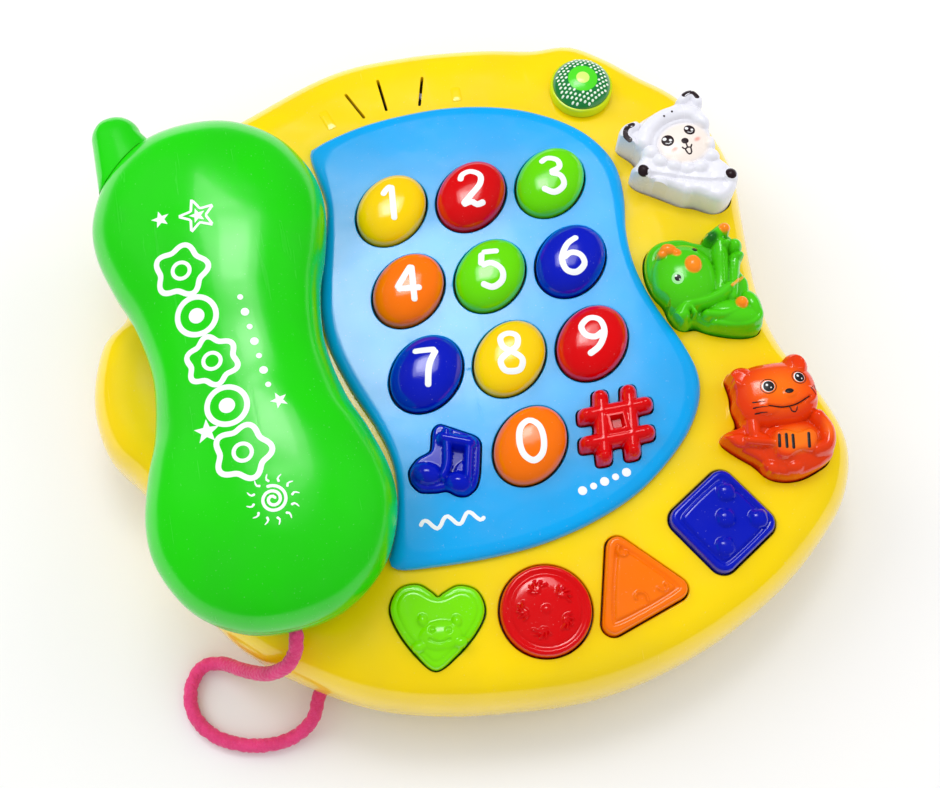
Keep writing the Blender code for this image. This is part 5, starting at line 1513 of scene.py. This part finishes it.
def make_handset_bottom():
    finish = plastic("handset_abs", HANDSET_GREEN, 0.2, 0.25)
    profile = [(37.0, 0.70), (37.4, 0.78), (38.2, 0.852), (39.4, 0.908), (41.0, 0.948),
               (43.0, 0.977), (45.4, 0.992),
               (48.0, 0.999), (49.5, 1.0), (49.85, 0.996)]
    made = loft("handset_bottom", [handset_ring(share, z) for z, share in profile], finish)
    for name, along in (("ear", CUP_ALONG), ("mouth", -CUP_ALONG)):
        cup = [(CUP_RADIUS - 5.0, CUP_FOOT_Z), (CUP_RADIUS - 1.3, CUP_FOOT_Z + 0.15),
               (CUP_RADIUS - 0.5, CUP_FOOT_Z + 0.6),
               (CUP_RADIUS, CUP_FOOT_Z + 1.5), (CUP_RADIUS, 37.8), (CUP_RADIUS + 1.0, 39.4)]
        boolean(made, [cylinder(f"{name}_cup", on_handset(0, along), cup, 80)], "UNION")
    hollow = [handset_ring(share * 0.93, z + 2.2) for z, share in profile[:-1]] + [handset_ring(0.94, 52.0)]
    tools = [loft("handset_bottom_hollow", hollow)]
    for name, along in (("ear", CUP_ALONG), ("mouth", -CUP_ALONG)):
        centre = on_handset(0, along)
        tools.append(cylinder(f"{name}_cup_hollow", centre, [(CUP_RADIUS - 3.0, CUP_FOOT_Z + 2.0),
                                                           (CUP_RADIUS - 2.0, 42.0)], 60))
        for circle_number, count in enumerate((1, 6, 12)):
            for number in range(count):
                angle = 2 * math.pi * number / count
                reach = 4.2 * circle_number
                hole = on_handset(reach * math.cos(angle), along + reach * math.sin(angle))
                tools.append(cylinder(f"{name}_hole_{circle_number}_{number}", hole,
                                      [(1.5, CUP_FOOT_Z - 0.5), (1.0, CUP_FOOT_Z + 0.4),
                                       (1.0, CUP_FOOT_Z + 4)], 16))
    for number, along in enumerate((HANDSET_SCREW_ALONG, -HANDSET_SCREW_ALONG)):
        tools.append(cylinder(f"handset_bore_{number}", on_handset(0, along),
                              [(3.9, 36.6), (3.5, 37.3), (3.3, 37.8), (3.3, 44.0)], 32))
    start, after = np.array(CORD_ROUTE[0]), np.array(CORD_ROUTE[1])
    ahead = (after - start) / np.linalg.norm(after - start)
    side, up = frames_along(np.array([start, after]))
    corners = np.arange(28) * 2 * math.pi / 28
    outlet = [start + ahead * reach + np.outer(np.cos(corners), side[0]) * radius
              + np.outer(np.sin(corners), up[0]) * radius for reach,
              radius in ((-2, 2.9), (9, 2.9), (14, 3.6))]
    tools.append(loft("cord_outlet", outlet))
    face_outwards(tools)
    boolean(made, tools)
    finish_cut(made, finish, 38)
    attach(made, "handset")
    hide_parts("handset_bottom_shell")


def make_antenna():
    """A rounded tab, wider at its foot, saddled against the handset's shoulder."""
    finish = plastic("handset_abs", HANDSET_GREEN, 0.2, 0.25)
    inner, foot, tip = np.array([-82.4, 63.4,
                                 51.0]), np.array([-86.9, 67.7, 51.0]), np.array([-88.3, 77.8, 51.0])
    ahead = (tip - foot) / np.linalg.norm(tip - foot)
    radius, half_height = 7.4, 6.2
    flare, side = np.array([8.6, 7.4, 0.0]), np.array([ahead[1], -ahead[0], 0.0]) * radius
    stages = [(inner * (1 - t) + foot * t, flare, 1.0) for t in (0.0, 0.5)]
    stages += [(foot * (1 - t) + tip * t, flare * (1 - t) + side * t, 1.0) for t in np.linspace(0, 1, 9)]
    stages += [(tip + ahead * radius * math.sin(bend), side * math.cos(bend), math.cos(bend))
               for bend in np.linspace(0.12, math.pi / 2 - 0.03, 14)]
    angles = np.arange(48) * 2 * math.pi / 48
    ridge = 0.5 * np.exp(-((np.degrees(angles) - 128) / 22) ** 2)
    rings = [centre + np.outer(np.cos(angles), across)
             + np.outer(np.sin(angles) * half_height + ridge, (0.0, 0.0, scale)) for centre,
             across, scale in stages]
    made = loft("antenna_tab", rings[::-1], finish)
    grown = [(37.0, 0.72), (41.0, 0.96), (45.4, 1.003), (49.5, 1.008), (HANDSET_SPLIT_Z + 2, 1.008)]
    envelope = [handset_ring(share, z) for z, share in grown]
    envelope += [handset_ring(share, handset_top_z(share) + 0.3)
                 for share in (0.985, 0.95, 0.9, 0.8, 0.65, 0.5)]
    tools = [loft("handset_envelope", envelope)]
    face_outwards([made] + tools)
    boolean(made, tools)
    finish_cut(made, finish)
    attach(made, "handset")
    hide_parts("handset_antenna")


def star(centre, radius, angle, pinch=0.42):
    turns = np.arange(10) * math.pi / 5 + angle
    reach = np.where(np.arange(10) % 2 == 0, radius, radius * pinch)
    return np.column_stack([np.cos(turns) * reach, np.sin(turns) * reach]) + np.array(centre)


def petals(centre, radius, count, depth, angle=0.0):
    turns = np.linspace(0, 2 * math.pi, 120, endpoint=False)
    reach = radius * (1.0 + depth * np.cos(count * (turns - angle)))
    return np.column_stack([np.cos(turns) * reach, np.sin(turns) * reach]) + np.array(centre)


def print_handset(handset_top):
    """White print: stars, a spiral sun and, down the middle, a garland of outlined flowers and rings."""
    prints = Prints(surface_below(handset_top), 0.09, 0.25)
    prints.patch(star((-77.0, 40.4), 2.7, 1.7), (-77.0, 40.4))
    prints.patch(star((-66.6, 39.2), 2.4, 1.75), (-66.6, 39.2))
    prints.line(straight_path(np.vstack([star((-66.6, 39.2), 5.4, 1.75),
                                         star((-66.6, 39.2), 5.4, 1.75)[:1]]), 0.4)[:-1],
                0.75, True)
    prints.patch(star((-73.0, -24.6), 3.6, 1.5), (-73.0, -24.6))
    prints.patch(star((-52.8, -19.6), 2.5, 1.9), (-52.8, -19.6))
    start, end = np.array([-73.4, 23.5]), np.array([-64.4, -32.5])
    for number, (radius, count, depth) in enumerate(((6.8, 5, 0.13), (5.4, 2, 0.0),
                                                     (6.6, 6, 0.11), (5.4, 2, 0.0),
                                                     (6.9, 5, 0.13))):
        place = start + (end - start) * number / 4
        prints.line(petals(place, radius, count, depth, 0.3 * number), 1.55, True)
        if number % 2:
            prints.disc(place, 2.2)
        else:
            prints.line(ellipse(place, 2.4, 2.4, 40), 1.1, True)
    for number in range(7):
        part = number / 6
        prints.disc((-58.6 + 3.6 * part, 12.5 - 27.0 * part), 1.15 if number % 2 else 0.8)
    centre = np.array([-58.6, -46.8])
    turns = np.linspace(0.0, 4.6 * math.pi, 90)
    spiral = np.column_stack([np.cos(turns),
                              np.sin(turns)]) * (0.5 + 3.3 * turns / turns[-1])[:, None] + centre
    prints.line(spiral, 0.8)
    for number in range(12):
        angle = 2 * math.pi * number / 12 + 0.1
        across = np.array([-math.sin(angle), math.cos(angle)])
        ahead = np.array([math.cos(angle), math.sin(angle)])
        ray = [centre + ahead * reach + across * sway for reach,
               sway in ((4.9, -0.3), (5.8, 0.35), (7.1, -0.25))]
        prints.line(smooth_path(ray, 0.2), 0.7, taper=True)
    prints.make("handset_print", print_ink("white_ink", WHITE_INK), "handset", "handset_green")


handset_top_piece = make_handset_top()
make_handset_bottom()
make_antenna()
print_handset(handset_top_piece)


# ---- Underside ----------------------------------------------------------------------------------
def make_battery_door():
    finish = plastic("body_abs", YELLOW, 0.15)
    low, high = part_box("battery_door")
    low, high = low / MM, high / MM
    outline = rounded_polygon([(low[0], low[1]), (high[0], low[1]), (high[0], high[1]),
                               (low[0], high[1])], 1.6, 6)
    stages = [(0.5, low[2]), (0.15, low[2] + 0.15), (0.0, low[2] + 0.5), (0.0, high[2])]
    made = loft("battery_cover", [ring(offset(outline, a), z) for a, z in stages], finish)
    tools = []
    for number in range(9):
        x = low[0] + 8.0 + number * 2.4
        groove = rounded_polygon(rectangle((x, (low[1] + high[1]) / 2),
                                           (1.1, high[1] - low[1] - 16.0)), 0.5, 5)
        tools.append(loft(f"groove_{number}",
                          [ring(offset(groove, -0.2), low[2] - 0.5), ring(groove, low[2] + 0.6)]))
    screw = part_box("battery_door_screw")
    place = ((screw[0] + screw[1]) / 2 / MM)[:2]
    tools.append(cylinder("door_seat", place,
                          [(3.6, low[2] - 0.5), (3.2, low[2] + 0.4), (3.2, high[2] - 0.6)], 32))
    boolean(made, tools)
    finish_cut(made, finish)
    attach(made, "base")
    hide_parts("battery_door")


def make_screws():
    """Pan heads with a cross recess, seen from below, on threaded shanks."""
    finish = metal("screw_steel", (0.60, 0.61, 0.63), 0.3)
    names = [name for name in NODES if "screw" in name]
    for name in sorted(names):
        low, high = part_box(name)
        low, high = low / MM, high / MM
        centre = ((low + high) / 2)[:2]
        radius = (high[0] - low[0]) / 2
        shank = 1.15
        profile = [(radius * 0.55, low[2]), (radius * 0.85, low[2] + 0.2), (radius, low[2] + 0.75),
                   (radius, low[2] + 1.3),
                   (shank, low[2] + 1.35)]
        z, step = low[2] + 1.8, 0.0
        while z < high[2] - 1.2:
            profile.append((shank if int(step) % 2 else shank * 0.72, z))
            z, step = z + 0.5, step + 1
        profile += [(0.7, high[2] - 0.9), (0.1, high[2])]
        made = cylinder(f"{name}_head", centre, profile, 32, finish)
        tools = [loft(f"{name}_recess_{turn}",
                      [ring(rectangle(centre, (radius * 1.15, 0.62), turn * math.pi / 2), z)
                                               for z in (low[2] - 0.5, low[2] + 0.8)]) for turn in range(2)]
        boolean(made, tools)
        finish_cut(made, finish)
        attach(made, "handset" if name.startswith("handset") else "base")
        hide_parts(name)


make_battery_door()
make_screws()


# ---- Inner pieces -------------------------------------------------------------------------------
def finish_inner_pieces():
    finishes = {
        "circuit_board": matte("board_green", (0.02, 0.16, 0.06), (0.03, 0.24, 0.10), 60.0, 0.4),
        "sound_chip": matte("epoxy_black", (0.012, 0.012, 0.014), (0.03, 0.03, 0.032), 200.0, 0.45),
        "key_mat": matte("silicone_grey", (0.58, 0.58, 0.56), (0.66, 0.66, 0.64), 90.0, 0.7),
        "light_led": clear_plastic("led_epoxy", (0.95, 0.95, 0.85), 0.8),
        "speaker_frame": metal("zinc_steel", (0.66, 0.67, 0.69), 0.35),
        "speaker_magnet": matte("ferrite", (0.03, 0.03, 0.035), (0.06, 0.06, 0.065), 300.0, 0.6),
        "speaker_cone": matte("paper_cone", (0.05, 0.05, 0.055), (0.09, 0.09, 0.09), 400.0, 0.85),
        "battery_cell": metal("cell_jacket", (0.06, 0.12, 0.30), 0.3),
        "battery_plate": metal("zinc_steel", (0.66, 0.67, 0.69), 0.35),
        "battery_spring": metal("zinc_steel", (0.66, 0.67, 0.69), 0.35),
    }
    for name, node in NODES.items():
        for prefix, finish in finishes.items():
            if name.startswith(prefix):
                node.data.materials.clear()
                node.data.materials.append(finish)


finish_inner_pieces()


# ---- Floor and light ----------------------------------------------------------------------------
def make_stage():
    g = Graph("studio_paper")
    body = g.mix(g.ramp(g.noise(6.0, 3.0), 0.3, 0.7, 0.0, 1.0), (0.90, 0.90, 0.90), (0.88, 0.88, 0.885))
    paper = g.set(Base_Color=body, Roughness=0.9, Normal=g.bump(g.noise(900.0, 2.0), 0.1, 0.0001))
    size = 3000.0
    floor = add_mesh("floor", [(-size, -size, 0), (size, -size, 0), (size, size, 0), (-size, size, 0)],
                     [(0, 1, 2, 3)], paper, None)


WORLD_STRENGTH = 0.76     # what lights the object and the floor
MIRRORED_STRENGTH = 0.07  # what glossy plastic mirrors, so that only the softboxes show in it
LIGHTS_AIM = (0.0, 0.0, 0.03)


def add_softbox(name, place, target, size, power):
    light = bpy.data.objects.new(name, bpy.data.lights.new(name, "AREA"))
    light.data.shape = "RECTANGLE"
    light.data.size, light.data.size_y = size
    light.data.energy = power
    place, target = Vector(place), Vector(target)
    turn = (target - place).to_track_quat("-Z", "Y").to_matrix().to_4x4()
    light.matrix_world = Matrix.Translation(place) @ turn
    bpy.context.scene.collection.objects.link(light)
    return light


def make_lights():
    world = bpy.data.worlds.new("studio")
    world.use_nodes = True
    background = world.node_tree.nodes["Background"]
    background.inputs["Color"].default_value = (1.0, 1.0, 1.0, 1.0)
    tree = world.node_tree
    strength = tree.nodes.new("ShaderNodeMapRange")
    strength.inputs["To Min"].default_value = WORLD_STRENGTH
    strength.inputs["To Max"].default_value = MIRRORED_STRENGTH
    tree.links.new(tree.nodes.new("ShaderNodeLightPath").outputs["Is Glossy Ray"], strength.inputs["Value"])
    tree.links.new(strength.outputs["Result"], background.inputs["Strength"])
    bpy.context.scene.world = world
    for name, place, size, power in (("rear_left_fill", (-0.75, 0.65, 0.85), (0.8, 0.8), 5.0),
                                     ("right_fill", (1.0, 0.15, 0.75), (0.7, 0.9), 2.5),
                                     ("front_fill", (0.15, -1.1, 0.7), (1.2, 0.5), 0.7)):
        add_softbox(name, place, LIGHTS_AIM, size, power).visible_glossy = False
    add_softbox("wide_softbox", (0.05, 0.43, 1.0), LIGHTS_AIM, (0.50, 0.34), 1.5)
    add_softbox("near_softbox", (0.04, 0.43, 0.995), LIGHTS_AIM, (0.26, 0.20), 0.8)
    bpy.context.scene.view_settings.view_transform = "Standard"


make_stage()
make_lights()
